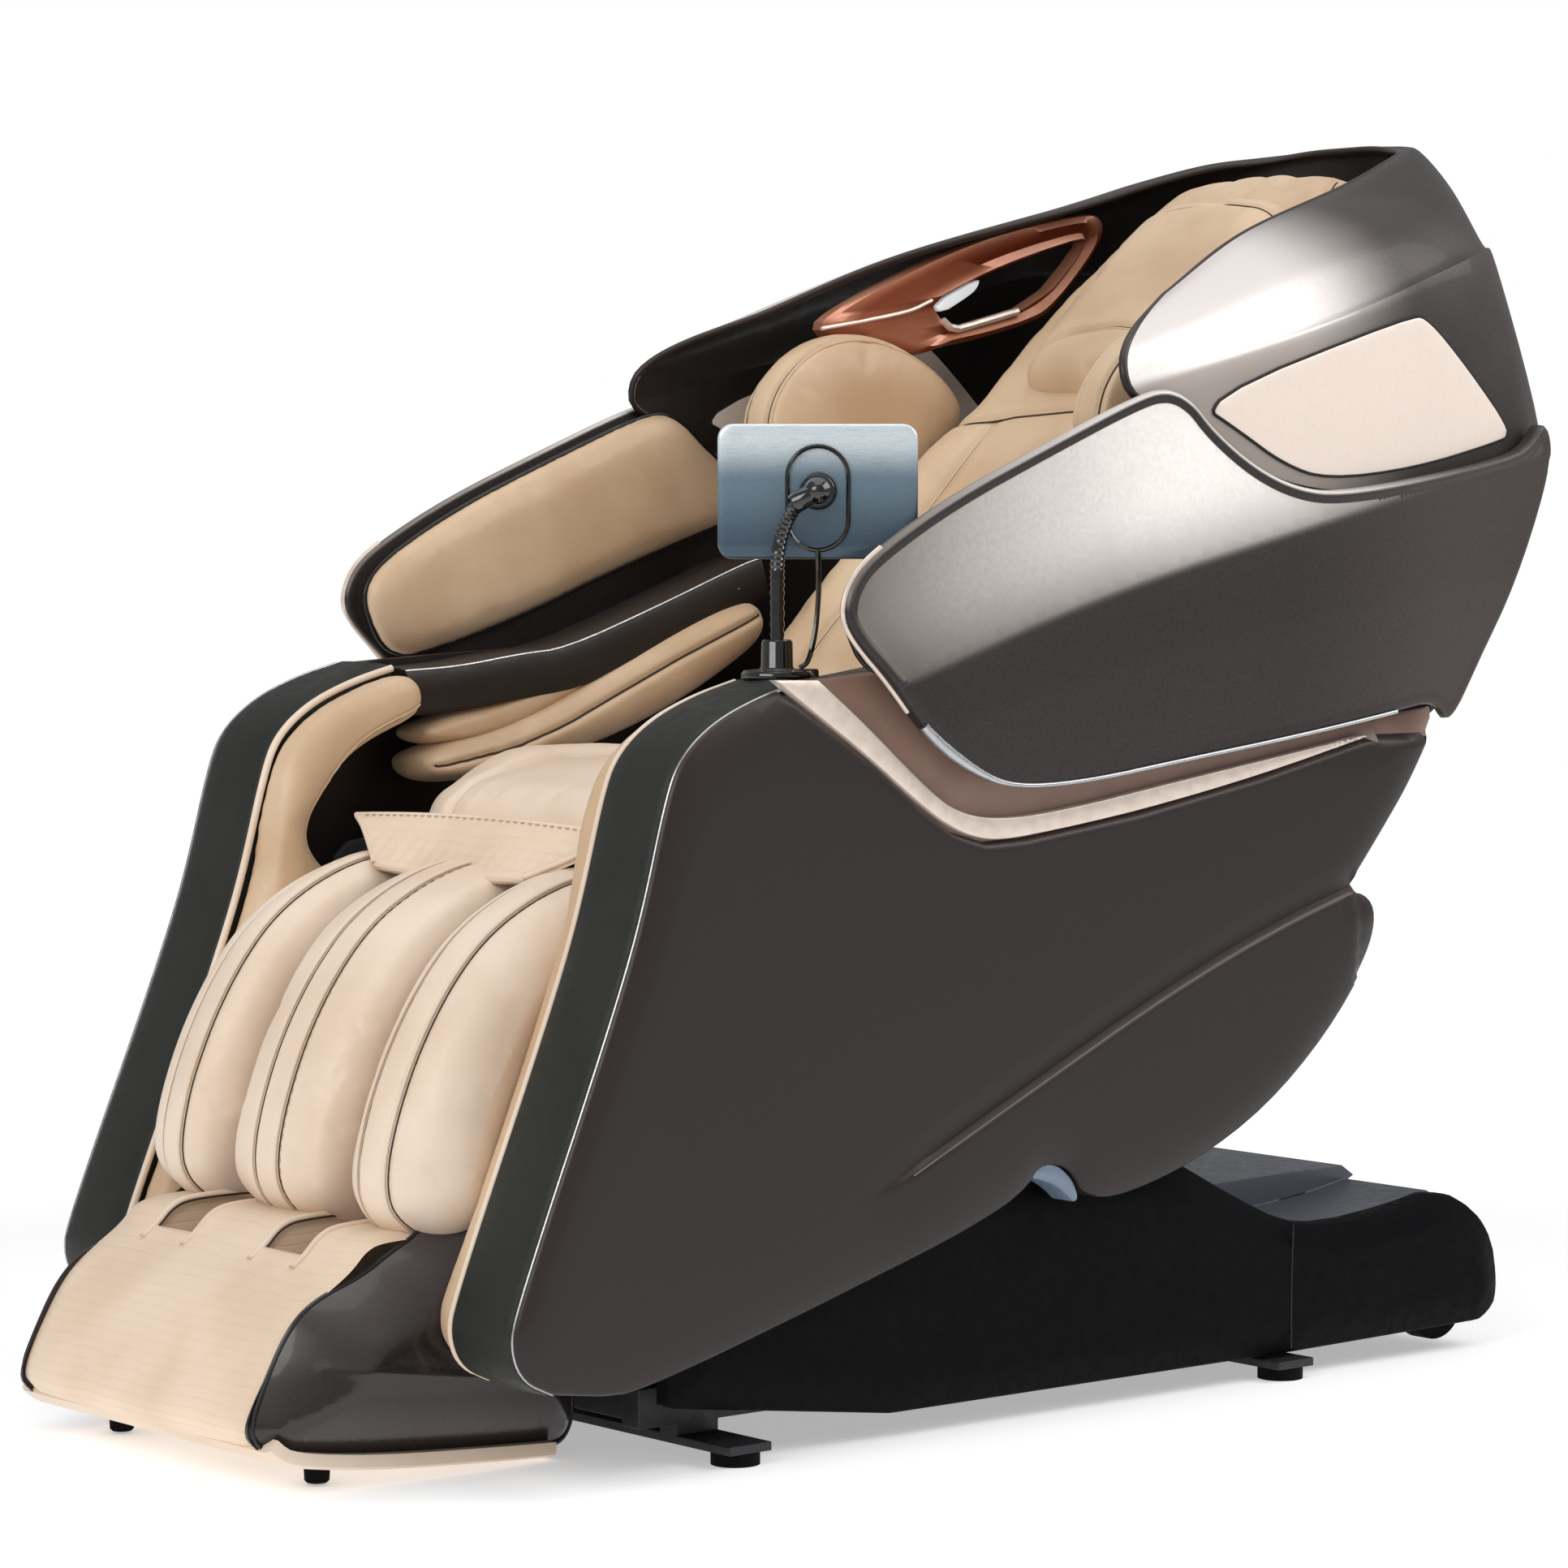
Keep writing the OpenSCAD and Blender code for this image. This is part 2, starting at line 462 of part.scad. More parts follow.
// Two kneading arms on a common shaft, with a ball at each end.
module massage_head() color([0.85, 0.8, 0.7]) in_back() {
    cross_bar(-95, 95, [375, -30], 8);
    for (x = [-60, 60]) {
        translate([x - 6, 375, -12]) rotate([90, 0, 90]) linear_extrude(12)
            polygon([[-66, 8], [-60, -4], [-10, -22], [10, -22], [60, -4], [66, 8], [0, 2]]);
        for (y = [320, 430]) translate([x, y, 2]) sphere(r = 24);
    }
}

// ---- legrest and foot unit ------------------------------------------------------------------
module along_leg() rotate([90 - leg_dir, 0, 0]) children();
module legrest() color([0.14, 0.12, 0.12]) difference() {
    union() {
        plate(-206, 206, [[-521, 228], [-507, 300], [-469, 374], [-420, 426], [-398, 440], [-386, 420],
            [-420, 330], [-448, 240], [-480, 206]]);
        plates(214, 224, round_off([[-392, 496], [-378, 520], [-352, 508], [-312, 426], [-340, 404],
            [-390, 360], [-452, 232], [-520, 226], [-506, 300], [-468, 374], [-420, 424]], 1));
        for (x = [-214, 206]) plate(x, x + 8, [[-516, 232], [-502, 300], [-465, 370], [-426, 412],
            [-396, 380], [-452, 236]]);
        cross_bar(-214, 214, leg_eye, 10);
    }
    cross_bar(-260, 260, knee, pin_r + run);
    for (x = [-180, 180]) translate([x, -540, 160]) along_leg_up() cylinder(h = 330, r = 8 + run);
}
module along_leg_up() rotate([-(90 - leg_dir), 0, 0]) children();
module calf_bolsters() color([0.87, 0.75, 0.6]) {
    plate(-middle_w / 2, middle_w / 2, round_off(concat(bolster_front, bolster_back), 1));
    plates(bolster_pitch - bolster_w / 2, 211, round_off(concat(bolster_front, bolster_back), 1));
}
// Foot unit: two cheeks, a sole with two foot wells, and guide rods that run in the legrest.
module foot_unit() color([0.2, 0.15, 0.13]) {
    plates(228, 240, concat(foot_front, foot_rear));
    difference() {
        plate(-228, 228, concat(foot_front, [[-634, 17], [-470, 4], [-452, 30], [-456, 120], [-505, 172],
            [-560, 190]]));
        for (x = [-120, 54]) span([x, -708, 66], [x + 66, -560, 240]);
        span([-190, -672, 30], [190, -604, 76]);
        for (x = [-194, 178]) cross_bar(x, x + 16, [-638, 54], 7);
    }
    for (x = [-180, 180]) translate([x, -540, 160]) along_leg_up() cylinder(h = 190, r = 8);
    for (x = [-157, 157]) translate([x, -690, 2]) cylinder(h = 26, r = 11);
}
// Sole rollers: one shaft with a bulged roller under each foot.
module foot_rollers() color([0.8, 0.76, 0.68]) {
    cross_bar(-188, 188, [-638, 54], 5);
    for (x = [-87, 87]) translate([x, -638, 54]) for (dx = [-16, 16]) translate([dx, 0, 0])
        rotate([0, 90, 0]) translate([0, 0, -10]) cylinder(h = 20, r = 18);
}

base_frame();
base_cover_left();
base_cover_right();
base_deck();
base_feet();
slide_rails();
slide_drive();
power_panel();
rocker_switch();
transport_axle();
transport_wheel_left();
transport_wheel_right();
carriage_frame();
slide_blocks();
control_box();
air_pump();
tilt_pins();
tilt_actuator();
tilt_rod();
seat_frame();
seat_cushion();
side_panel_left();
side_panel_right();
front_band_left();
front_band_right();
side_lining_left();
side_lining_right();
accent_strip_left();
accent_strip_right();
tail_inserts();
armrest_left();
armrest_right();
arm_pads_left();
arm_pads_right();
seat_pins();
recline_actuator();
recline_rod();
leg_actuator();
leg_rod();
tablet_base();
gooseneck();
tablet();
back_frame();
back_cover();
back_cushion();
head_pillow();
hood();
hood_inlays();
wing_left();
wing_right();
wing_pads();
shoulder_pads();
shoulder_trims();
track_rails();
massage_carriage();
massage_head();
legrest();
calf_bolsters();
foot_unit();
foot_rollers();
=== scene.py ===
import math

import bpy
import numpy as np
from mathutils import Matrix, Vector, geometry
from mathutils.bvhtree import BVHTree


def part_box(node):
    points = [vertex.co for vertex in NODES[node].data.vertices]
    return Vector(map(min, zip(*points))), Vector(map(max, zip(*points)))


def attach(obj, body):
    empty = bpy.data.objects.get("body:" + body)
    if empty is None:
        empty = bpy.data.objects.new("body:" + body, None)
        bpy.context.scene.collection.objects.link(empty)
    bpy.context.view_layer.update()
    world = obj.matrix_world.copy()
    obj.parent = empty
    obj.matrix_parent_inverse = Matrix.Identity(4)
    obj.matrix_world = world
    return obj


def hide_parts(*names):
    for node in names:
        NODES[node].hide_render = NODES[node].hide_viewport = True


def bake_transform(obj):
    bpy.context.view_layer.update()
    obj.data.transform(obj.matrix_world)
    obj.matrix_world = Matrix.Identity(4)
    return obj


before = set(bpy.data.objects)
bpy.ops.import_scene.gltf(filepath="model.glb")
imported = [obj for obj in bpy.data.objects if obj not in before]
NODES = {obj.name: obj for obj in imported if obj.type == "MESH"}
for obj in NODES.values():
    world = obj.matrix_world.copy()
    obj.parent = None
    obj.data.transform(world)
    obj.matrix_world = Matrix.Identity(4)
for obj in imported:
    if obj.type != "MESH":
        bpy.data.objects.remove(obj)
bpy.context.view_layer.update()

# Reclining massage chair. Lengths are millimetres until a mesh is made; side outlines are (Y, Z).
SCENE = bpy.context.scene
MM = 0.001


# ---- outlines ----
def chaikin(p, times=2, closed=True):
    p = np.array(p, float)
    for _ in range(times):
        q = np.roll(p, -1, 0)
        pair = np.stack([0.75 * p + 0.25 * q, 0.25 * p + 0.75 * q], 1)
        if closed:
            p = pair.reshape(-1, p.shape[1])
        else:
            p = np.vstack([p[:1], pair[:-1].reshape(-1, p.shape[1]), p[-1:]])
    return p


def rounded(p, times=2):
    """Open line with its corners cut."""
    return chaikin(p, times, closed=False)


def resample(p, step, closed=True):
    p = np.array(p, float)
    if closed:
        p = np.vstack([p, p[:1]])
    s = np.concatenate([[0], np.cumsum(np.linalg.norm(np.diff(p, axis=0), axis=1))])
    n = max(int(round(s[-1] / step)), 3)
    t = np.linspace(0, s[-1], n + 1)
    out = np.stack([np.interp(t, s, p[:, k]) for k in range(p.shape[1])], 1)
    return out[:-1] if closed else out


def spaced(p, step):
    """Open line with its points at even steps."""
    return resample(p, step, closed=False)


def soft(points, step):
    """Closed line with rounded corners through about the given points."""
    return resample(chaikin(points, 2), step)


def counterclockwise(p):
    q = np.roll(p, -1, 0)
    return p if (p[:, 0] * q[:, 1] - q[:, 0] * p[:, 1]).sum() > 0 else p[::-1].copy()


def distance(q, line, closed=True):
    a = np.array(line, float)
    b = np.roll(a, -1, 0) if closed else a[1:]
    best = np.full(len(q), 1e9)
    for s, e in zip(a, b):
        v = e - s
        t = np.clip(((q - s) @ v) / max(v @ v, 1e-12), 0, 1)
        best = np.minimum(best, np.linalg.norm(q - s - t[:, None] * v, axis=1))
    return best


def inside(q, loop):
    hit = np.zeros(len(q), bool)
    for (ax, ay), (bx, by) in zip(loop, np.roll(loop, -1, 0)):
        if ay != by:
            cross = (q[:, 1] > min(ay, by)) & (q[:, 1] <= max(ay, by))
            hit ^= cross & (q[:, 0] < ax + (q[:, 1] - ay) * (bx - ax) / (by - ay))
    return hit


def turned(loop):
    """The sign that makes leftward point out of a loop."""
    q = np.roll(loop, -1, 0)
    return -1 if (loop[:, 0] * q[:, 1] - q[:, 0] * loop[:, 1]).sum() > 0 else 1


def heading(line, closed):
    """Unit vectors along a line, one at each of its points."""
    t = (np.roll(line, -1, 0) - np.roll(line, 1, 0)) if closed else np.gradient(line, axis=0)
    return t / np.maximum(np.linalg.norm(t, axis=1, keepdims=True), 1e-9)


def leftward(line, closed):
    t = heading(line, closed)
    return np.stack([-t[:, 1], t[:, 0]], 1)


def step01(t):
    t = np.clip(t, 0, 1)
    return t * t * (3 - 2 * t)


def round_drop(d, r):
    """How far a rounded edge of radius r has dropped at a distance d from the outline."""
    return r - np.sqrt(np.maximum(r * r - (r - np.minimum(d, r)) ** 2, 0))


def dome(d, depth, reach):
    """Height of a rounded face at a distance d from its edge."""
    return reach * np.sqrt(np.maximum(1 - (1 - np.minimum(d, depth) / depth) ** 2, 0))


def flat_face(height, r):
    return lambda p, d: height - round_drop(d, r)


def domed_face(height, depth, reach):
    return lambda p, d: height + dome(d, depth, reach)


def cad_outline(node, side=1):
    """Side outline of a plate-like CAD node, read from its innermost face."""
    me = NODES[node].data
    co = np.zeros(len(me.vertices) * 3)
    me.vertices.foreach_get("co", co)
    co = co.reshape(-1, 3) / MM
    me.calc_loop_triangles()
    tri = np.zeros(len(me.loop_triangles) * 3, int)
    me.loop_triangles.foreach_get("vertices", tri)
    _, first, same = np.unique(np.round(co, 1), axis=0, return_index=True, return_inverse=True)
    x = co[first, 0] * side
    tri = same.reshape(-1)[tri].reshape(-1, 3)
    low = x[x > 0].min()
    tri = tri[(np.abs(x[tri] - low) < 0.2).all(1)]
    edges = {(a, b) for t in tri for a, b in zip(t, np.roll(t, -1))}
    after = {a: b for a, b in edges if (b, a) not in edges}
    loops = []
    while after:
        a, b = after.popitem()
        loop = [a]
        while b != a and b in after:
            loop.append(b)
            b = after.pop(b)
        loops.append(loop)
    return co[first][max(loops, key=len), 1:3]


# ---- meshes ----
CREASE_ROWS = (0, -2.5, 2.5, -5.5, 5.5, -10, 10)


def closed_body(loop, lo, hi, grid=8.0, rings=(1.2, 3.5), band=1, crown=0.0, lines=()):
    """Closed body over an outline, as vertices (u, v, w) and faces, with w up.
    lo and hi are the heights of its faces, or give them from (points, distance to the edge)."""
    loop = counterclockwise(loop)
    count = len(loop)
    inward = leftward(loop, True)
    pts, edges = [loop], []
    for r in rings:
        p = loop + r * inward
        pts.append(p[(distance(p, loop) > 0.92 * r) & inside(p, loop)])
    start = sum(len(p) for p in pts)
    taken = np.zeros((0, 2))
    for line in lines:
        main = spaced(line, grid * 0.75)
        for off in CREASE_ROWS:
            row = main + off * leftward(main, False)
            keep = inside(row, loop) & (distance(row, loop) > 2.5)
            if len(taken):
                keep &= np.array([np.abs(taken - p).sum(1).min() > 2.0 for p in row])
            where = np.cumsum(keep) - 1
            both = np.where(keep[:-1] & keep[1:])[0]
            edges += [(start + where[i], start + where[i + 1]) for i in both]
            row = row[keep]
            taken = np.vstack([taken, row])
            pts.append(row)
            start += len(row)
    low, high = loop.min(0), loop.max(0)
    u, v = np.meshgrid(np.arange(low[0], high[0], grid), np.arange(low[1], high[1], grid * 0.866))
    u = u + (np.arange(len(v)) % 2 * grid / 2)[:, None]
    cells = np.stack([u.ravel(), v.ravel()], 1)
    cells = cells[inside(cells, loop) & (distance(cells, loop) > max(rings, default=0) + 0.55 * grid)]
    for line in lines:
        cells = cells[distance(cells, line, closed=False) > 10 + 0.5 * grid]
    pts = np.vstack(pts + [cells])
    found, _, tri, origin, _, _ = geometry.delaunay_2d_cdt(
        [Vector(p) for p in pts], [(int(a), int(b)) for a, b in edges], [list(range(count))], 1, 1e-5)
    flat = np.array([tuple(p) for p in found])
    place = {k: i for i, ids in enumerate(origin) for k in ids}
    rim = [place[i] for i in range(count)]
    tri = [tuple(t) for t in tri]
    middle = np.array([flat[list(t)].mean(0) for t in tri])
    tri = [t for t, ok in zip(tri, inside(middle, loop)) if ok]
    d = distance(flat, loop)
    d[rim] = 0
    top, bottom = (np.column_stack([flat, face(flat, d) if callable(face) else np.full(len(flat), float(face))])
                   for face in (hi, lo))
    n = len(flat)
    verts, rows = [top, bottom], [rim]
    for j in range(1, band):
        t = j / band
        w = top[rim, 2] * (1 - t) + bottom[rim, 2] * t
        out = flat[rim] - inward * crown * (1 - (2 * t - 1) ** 2)
        rows.append(list(range(2 * n + (j - 1) * count, 2 * n + j * count)))
        verts.append(np.column_stack([out, w]))
    rows.append([n + i for i in rim])
    faces = list(tri) + [tuple(n + i for i in reversed(t)) for t in tri]
    for a, b in zip(rows, rows[1:]):
        for i in range(count):
            k = (i + 1) % count
            faces.append((a[i], b[i], b[k], a[k]))
    return np.vstack(verts), faces


def flipped(faces):
    return [tuple(reversed(f)) for f in faces]


def beside(shape, side=1):
    """Turns (Y, Z, X) heights into chair coordinates on one side."""
    v, f = shape
    v = np.column_stack([side * v[:, 2], v[:, 0], v[:, 1]])
    return v, (f if side > 0 else flipped(f))


BACK_ORIGIN, BACK_ANGLE = 411.0, math.radians(45)


def on_back(v):
    """Turns the backrest's (across, up the rails, towards the sitter) into chair coordinates."""
    c, s = math.cos(BACK_ANGLE), math.sin(BACK_ANGLE)
    return np.column_stack([v[:, 0], v[:, 1] * c - v[:, 2] * s, BACK_ORIGIN + v[:, 1] * s + v[:, 2] * c])


def outward(v, faces):
    total = 0.0
    for f in faces:
        for i in range(1, len(f) - 1):
            total += np.dot(v[f[0]], np.cross(v[f[i]], v[f[i + 1]]))
    return faces if total > 0 else flipped(faces)


def grid_faces(rows, cols, loop_cols=True):
    faces = []
    for i in range(rows - 1):
        for j in range(cols if loop_cols else cols - 1):
            k = (j + 1) % cols
            faces.append((i * cols + j, i * cols + k, (i + 1) * cols + k, (i + 1) * cols + j))
    return faces


def grid_walls(rows, cols, behind):
    """Faces that join the four borders of a grid to those of its copy, so many vertices later."""
    borders = ([i * cols for i in range(rows)], [i * cols + cols - 1 for i in range(rows)], list(range(cols)),
               list(range((rows - 1) * cols, rows * cols)))
    return [(a, b, b + behind, a + behind) for ids in borders for a, b in zip(ids, ids[1:])]


def sweep(path, profile, side=1):
    """Profile points (x, n) carried along a side line, where n is measured to the left of it."""
    path, profile = np.array(path, float), np.array(profile, float)
    left = leftward(path, False)
    rows = [np.column_stack([np.full(len(profile), 0.0) + side * profile[:, 0],
                             p[0] + profile[:, 1] * n[0], p[1] + profile[:, 1] * n[1]])
            for p, n in zip(path, left)]
    k = len(profile)
    v = np.vstack(rows)
    f = grid_faces(len(path), k)
    f += [tuple(range(k)), tuple(reversed(range((len(path) - 1) * k, len(path) * k)))]
    return v, outward(v, f)


def tube(path, r, sides=8, closed=False):
    """Round cord along a line in space."""
    p = np.array(path, float)
    t = heading(p, closed)
    up = np.array([0.0, 0.0, 1.0]) if abs(t[0][2]) < 0.9 else np.array([1.0, 0.0, 0.0])
    a = np.linspace(0, 2 * math.pi, sides, endpoint=False)
    radii = np.broadcast_to(np.asarray(r, float), (len(p),))
    rows = []
    for q, d, rad in zip(p, t, radii):
        up = up - d * (up @ d)
        up = up / max(np.linalg.norm(up), 1e-9)
        side = np.cross(d, up)
        rows.append(q + rad * (np.cos(a)[:, None] * up + np.sin(a)[:, None] * side))
    v = np.vstack(rows)
    f = grid_faces(len(p), sides)
    if closed:
        last = (len(p) - 1) * sides
        f += [(last + j, last + (j + 1) % sides, (j + 1) % sides, j) for j in range(sides)]
    else:
        f += [tuple(range(sides)), tuple(reversed(range(len(v) - sides, len(v))))]
    return v, outward(v, f)


def revolve(profile, centre, axis, segments=40):
    """Turned part: profile points (radius, height) about an axis through a centre."""
    axis = Vector(axis).normalized()
    turn = np.array(Vector((0, 0, 1)).rotation_difference(axis).to_matrix())
    rows = []
    for a in np.linspace(0, 2 * math.pi, segments, endpoint=False):
        rows.append([(r * math.cos(a), r * math.sin(a), h) for r, h in profile])
    v = np.array(rows).reshape(-1, 3) @ turn.T + np.array(centre, float)
    k = len(profile)
    f = []
    for i in range(segments):
        j = (i + 1) % segments
        f += [(i * k + m, j * k + m, j * k + m + 1, i * k + m + 1) for m in range(k - 1)]
    f += [tuple(i * k for i in reversed(range(segments))), tuple(i * k + k - 1 for i in range(segments))]
    return v, outward(v, f)


def add(name, data):
    o = bpy.data.objects.new(name, data)
    SCENE.collection.objects.link(o)
    return o


def piece(name, parts, body, stands=(), sharp=35.0, normals=None):
    """One object from parts (vertices, faces, material), riding on a body."""
    verts = np.vstack([p[0] for p in parts])
    faces, index, mats, base = [], [], [], 0
    for v, f, m in parts:
        if m not in mats:
            mats.append(m)
        faces += [tuple(int(i) + base for i in q) for q in f]
        index += [mats.index(m)] * len(f)
        base += len(v)
    me = bpy.data.meshes.new(name)
    me.from_pydata((verts * MM).tolist(), [], faces)
    for m in mats:
        me.materials.append(m)
    me.polygons.foreach_set("material_index", index)
    me.polygons.foreach_set("use_smooth", [True] * len(faces))
    me.update()
    if sharp:
        me.set_sharp_from_angle(angle=math.radians(sharp))
    if normals is not None:
        me.normals_split_custom_set_from_vertices(normals)
    o = add(name, me)
    if body:
        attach(o, body)
    if stands:
        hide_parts(*stands)
    return o


# ---- padding ----
PRESSURE, LAST_FRAME = 4.0, 20


def settle(o):
    """Puts what the modifiers give into the object's own mesh."""
    me = bpy.data.meshes.new_from_object(o.evaluated_get(bpy.context.evaluated_depsgraph_get()))
    o.modifiers.clear()
    o.data = me


def points_of(me):
    co = np.zeros(len(me.vertices) * 3)
    me.vertices.foreach_get("co", co)
    return co.reshape(-1, 3)


def soften(shape, voxel=5.0, swell=8.0):
    """Blows a cushion's cover up a little, so that its faces belly and its edges pull in."""
    me = bpy.data.meshes.new("soft")
    me.from_pydata((shape[0] * MM).tolist(), [], shape[1])
    o = add("soft", me)
    o.modifiers.new("remesh", "REMESH").mode = "VOXEL"
    o.modifiers["remesh"].voxel_size = voxel * MM
    smooth = o.modifiers.new("smooth", "SMOOTH")
    smooth.factor, smooth.iterations = 0.5, 4
    settle(o)
    start = points_of(o.data)
    cloth = o.modifiers.new("cloth", "CLOTH")
    s = cloth.settings
    s.quality, s.mass = 4, 0.3
    s.tension_stiffness = s.compression_stiffness = 12
    s.shear_stiffness, s.bending_stiffness = 4, 0.3
    s.use_pressure, s.uniform_pressure_force = True, PRESSURE
    s.effector_weights.gravity = 0
    cloth.point_cache.frame_start, cloth.point_cache.frame_end = 1, LAST_FRAME
    for f in range(1, LAST_FRAME + 1):
        SCENE.frame_set(f)
    end = points_of(o.evaluated_get(bpy.context.evaluated_depsgraph_get()).data)
    o.modifiers.clear()
    SCENE.frame_set(1)
    move = end - start
    size = np.linalg.norm(move, axis=1, keepdims=True)
    cap = swell * MM
    move = move * cap * np.tanh(size / cap) / np.maximum(size, 1e-9)
    o.data.vertices.foreach_set("co", (start + move).ravel())
    smooth = o.modifiers.new("smooth", "SMOOTH")
    smooth.factor, smooth.iterations = 0.5, 2
    o.modifiers.new("sub", "SUBSURF").levels = 1
    o.modifiers["sub"].render_levels = 1
    settle(o)
    me = o.data
    v = points_of(me) / MM
    normals = np.zeros(len(v) * 3)
    me.vertex_normals.foreach_get("vector", normals)
    loops = np.zeros(len(me.loops), int)
    me.loops.foreach_get("vertex_index", loops)
    faces = [tuple(q) for q in loops.reshape(-1, 4).tolist()]
    bpy.data.objects.remove(o)
    return v, faces, normals.reshape(-1, 3)


def stitches(line, r, step, closed=False):
    row = resample(line, step, closed)
    return [(*tube(row[i:i + 3], r, 4), STITCH) for i in range(0, len(row) - 3, 4)]


class Cushion:
    """Softened shape that takes seams, piping and stitches, and then becomes one piece."""

    def __init__(self, shape, skin, **how):
        self.v, self.f, self.n = soften(shape, **how)
        self.tree = BVHTree.FromPolygons(self.v.tolist(), self.f)
        self.skin, self.extra = skin, []

    def snap(self, path):
        hits = [self.tree.find_nearest(Vector(p)) for p in path]
        return np.array([tuple(h[0]) for h in hits]), np.array([tuple(h[1]) for h in hits])

    def seam(self, path, closed=False, depth=3.0, width=4.0, cord=1.0, pipe=0.0, pipe_side=3.0,
             stitch_side=0.0):
        path = resample(path, 5.0, closed)
        on, n = self.snap(path)
        if not closed:
            kernel = np.array([0.25, 0.5, 0.25])
            for k in range(3):
                on[1:-1, k] = np.convolve(on[:, k], kernel, "valid")
        low, high = on.min(0) - 3 * width, on.max(0) + 3 * width
        near = np.where(((self.v > low) & (self.v < high)).all(1))[0]
        d = distance(self.v[near], on, closed)
        self.v[near] -= self.n[near] * (depth * np.exp(-(d / width) ** 2))[:, None]
        self.extra.append((*tube(on - n * (depth - 0.4 * cord), cord, 6, closed), THREAD))
        across = np.cross(heading(on, closed), n)
        if pipe:
            fade = depth * math.exp(-(pipe_side / width) ** 2)
            self.extra.append((*tube(on + across * pipe_side - n * (fade - 0.35 * pipe), pipe, 8, closed),
                               self.skin))
        if stitch_side:
            fade = depth * math.exp(-(stitch_side / width) ** 2)
            self.extra += stitches(on + across * stitch_side - n * (fade - 0.2), 0.55, 2.6, closed)

    def finish(self, name, body, slot="leather", stands=()):
        return piece(name, [(self.v, self.f, self.skin)] + self.extra, body, stands, sharp=0)


# ---- materials ----
def srgb(r, g, b):
    return tuple(((c / 255 + 0.055) / 1.055) ** 2.4 if c > 10 else c / 255 / 12.92 for c in (r, g, b)) + (1.0,)


def shade(tone, share):
    return tuple(share * c for c in tone[:3]) + (1.0,)


class Finish:
    """Node material with helpers for tone, grain and relief."""

    def __init__(self, name, rough=0.5, metallic=0.0, coat=0.0, coat_rough=0.05, sheen=0.0):
        self.material = bpy.data.materials.new(name)
        self.material.use_nodes = True
        self.tree = self.material.node_tree
        self.tree.nodes.clear()
        self.shader = self.node("BsdfPrincipled", {
            "Metallic": metallic, "Roughness": rough, "Coat Weight": coat, "Coat Roughness": coat_rough,
            "Sheen Weight": sheen})
        self.node("OutputMaterial", {0: self.shader.outputs[0]})
        self.place = self.node("TexCoord").outputs["Object"]
        self.geometry = self.node("NewGeometry")
        self.relief = None

    def node(self, kind, inputs=None, **values):
        """A node; its inputs are tones and numbers, or outputs of other nodes."""
        n = self.tree.nodes.new("ShaderNode" + kind)
        for k, v in values.items():
            setattr(n, k, v)
        for k, v in (inputs or {}).items():
            self.feed(n.inputs[k], v)
        return n

    def feed(self, socket, value):
        if isinstance(value, (int, float, tuple)):
            socket.default_value = value
        else:
            self.tree.links.new(value, socket)

    def set(self, name, value):
        self.feed(self.shader.inputs[name], value)

    def noise(self, scale, detail=3.0, stretch=(1, 1, 1)):
        m = self.node("Mapping", {"Scale": stretch, "Vector": self.place})
        return self.node("TexNoise", {"Scale": scale, "Detail": detail, "Vector": m.outputs[0]}).outputs[0]

    def cells(self, scale, output="Distance"):
        return self.node("TexVoronoi", {"Scale": scale, "Vector": self.place}).outputs[output]

    def waves(self, scale, distortion):
        values = {"Scale": scale, "Distortion": distortion, "Detail": 1.0, "Detail Scale": 0.6,
                  "Vector": self.place}
        return self.node("TexWave", values, bands_direction="Z").outputs["Fac"]

    def spread(self, value, low, high, to_low=0.0, to_high=1.0):
        values = {"From Min": low, "From Max": high, "To Min": to_low, "To Max": to_high, "Value": value}
        return self.node("MapRange", values, interpolation_type="SMOOTHSTEP").outputs[0]

    def mix(self, a, b, amount):
        return self.node("Mix", {6: a, 7: b, 0: amount}, data_type="RGBA").outputs[2]

    def facing(self, axis):
        """Share of a face's direction along one axis."""
        return self.node("SeparateXYZ", {0: self.geometry.outputs["Normal"]}).outputs[axis]

    def along(self, axis):
        """Place along one axis, in metres."""
        return self.node("SeparateXYZ", {0: self.place}).outputs[axis]

    def bump(self, height, strength, depth):
        n = self.node("Bump", {"Strength": strength, "Distance": depth, "Height": height})
        if self.relief is not None:
            self.feed(n.inputs["Normal"], self.relief)
        self.relief = n.outputs[0]
        self.set("Normal", self.relief)

    def grain(self, rough, fine, detail=3, stretch=(1, 1, 1), down=0.06, up=0.08):
        """Uneven gloss."""
        value = self.noise(fine, detail, stretch)
        self.set("Roughness", self.spread(value, 0.3, 0.7, rough - down, rough + up))


def leather(name, light, dark, grain=950, rough=0.45):
    m = Finish(name, rough, coat=0.06, coat_rough=0.4, sheen=0.12)
    tone = m.mix(dark, light, m.spread(m.noise(7, 4), 0.3, 0.7))
    tone = m.mix(tone, shade(dark, 0.86), m.spread(m.noise(45, 5), 0.56, 0.9, 0, 0.35))
    m.set("Base Color", tone)
    m.grain(rough, 160, 2, down=0.07)
    m.bump(m.noise(38, 3, (1, 1.6, 0.7)), 0.12, 0.0022)
    m.bump(m.cells(grain), 0.18, 0.0005)
    m.bump(m.noise(1900, 2), 0.1, 0.0003)
    return m.material


def quilted(name, light, dark):
    m = Finish(name, 0.5, coat=0.05, coat_rough=0.4, sheen=0.15)
    m.set("Base Color", m.mix(dark, light, m.spread(m.noise(9, 4), 0.3, 0.7)))
    line = m.spread(m.waves(36, 2.6), 0.0, 0.2)
    m.bump(line, 0.35, 0.0011)
    m.bump(m.cells(950), 0.15, 0.0005)
    return m.material


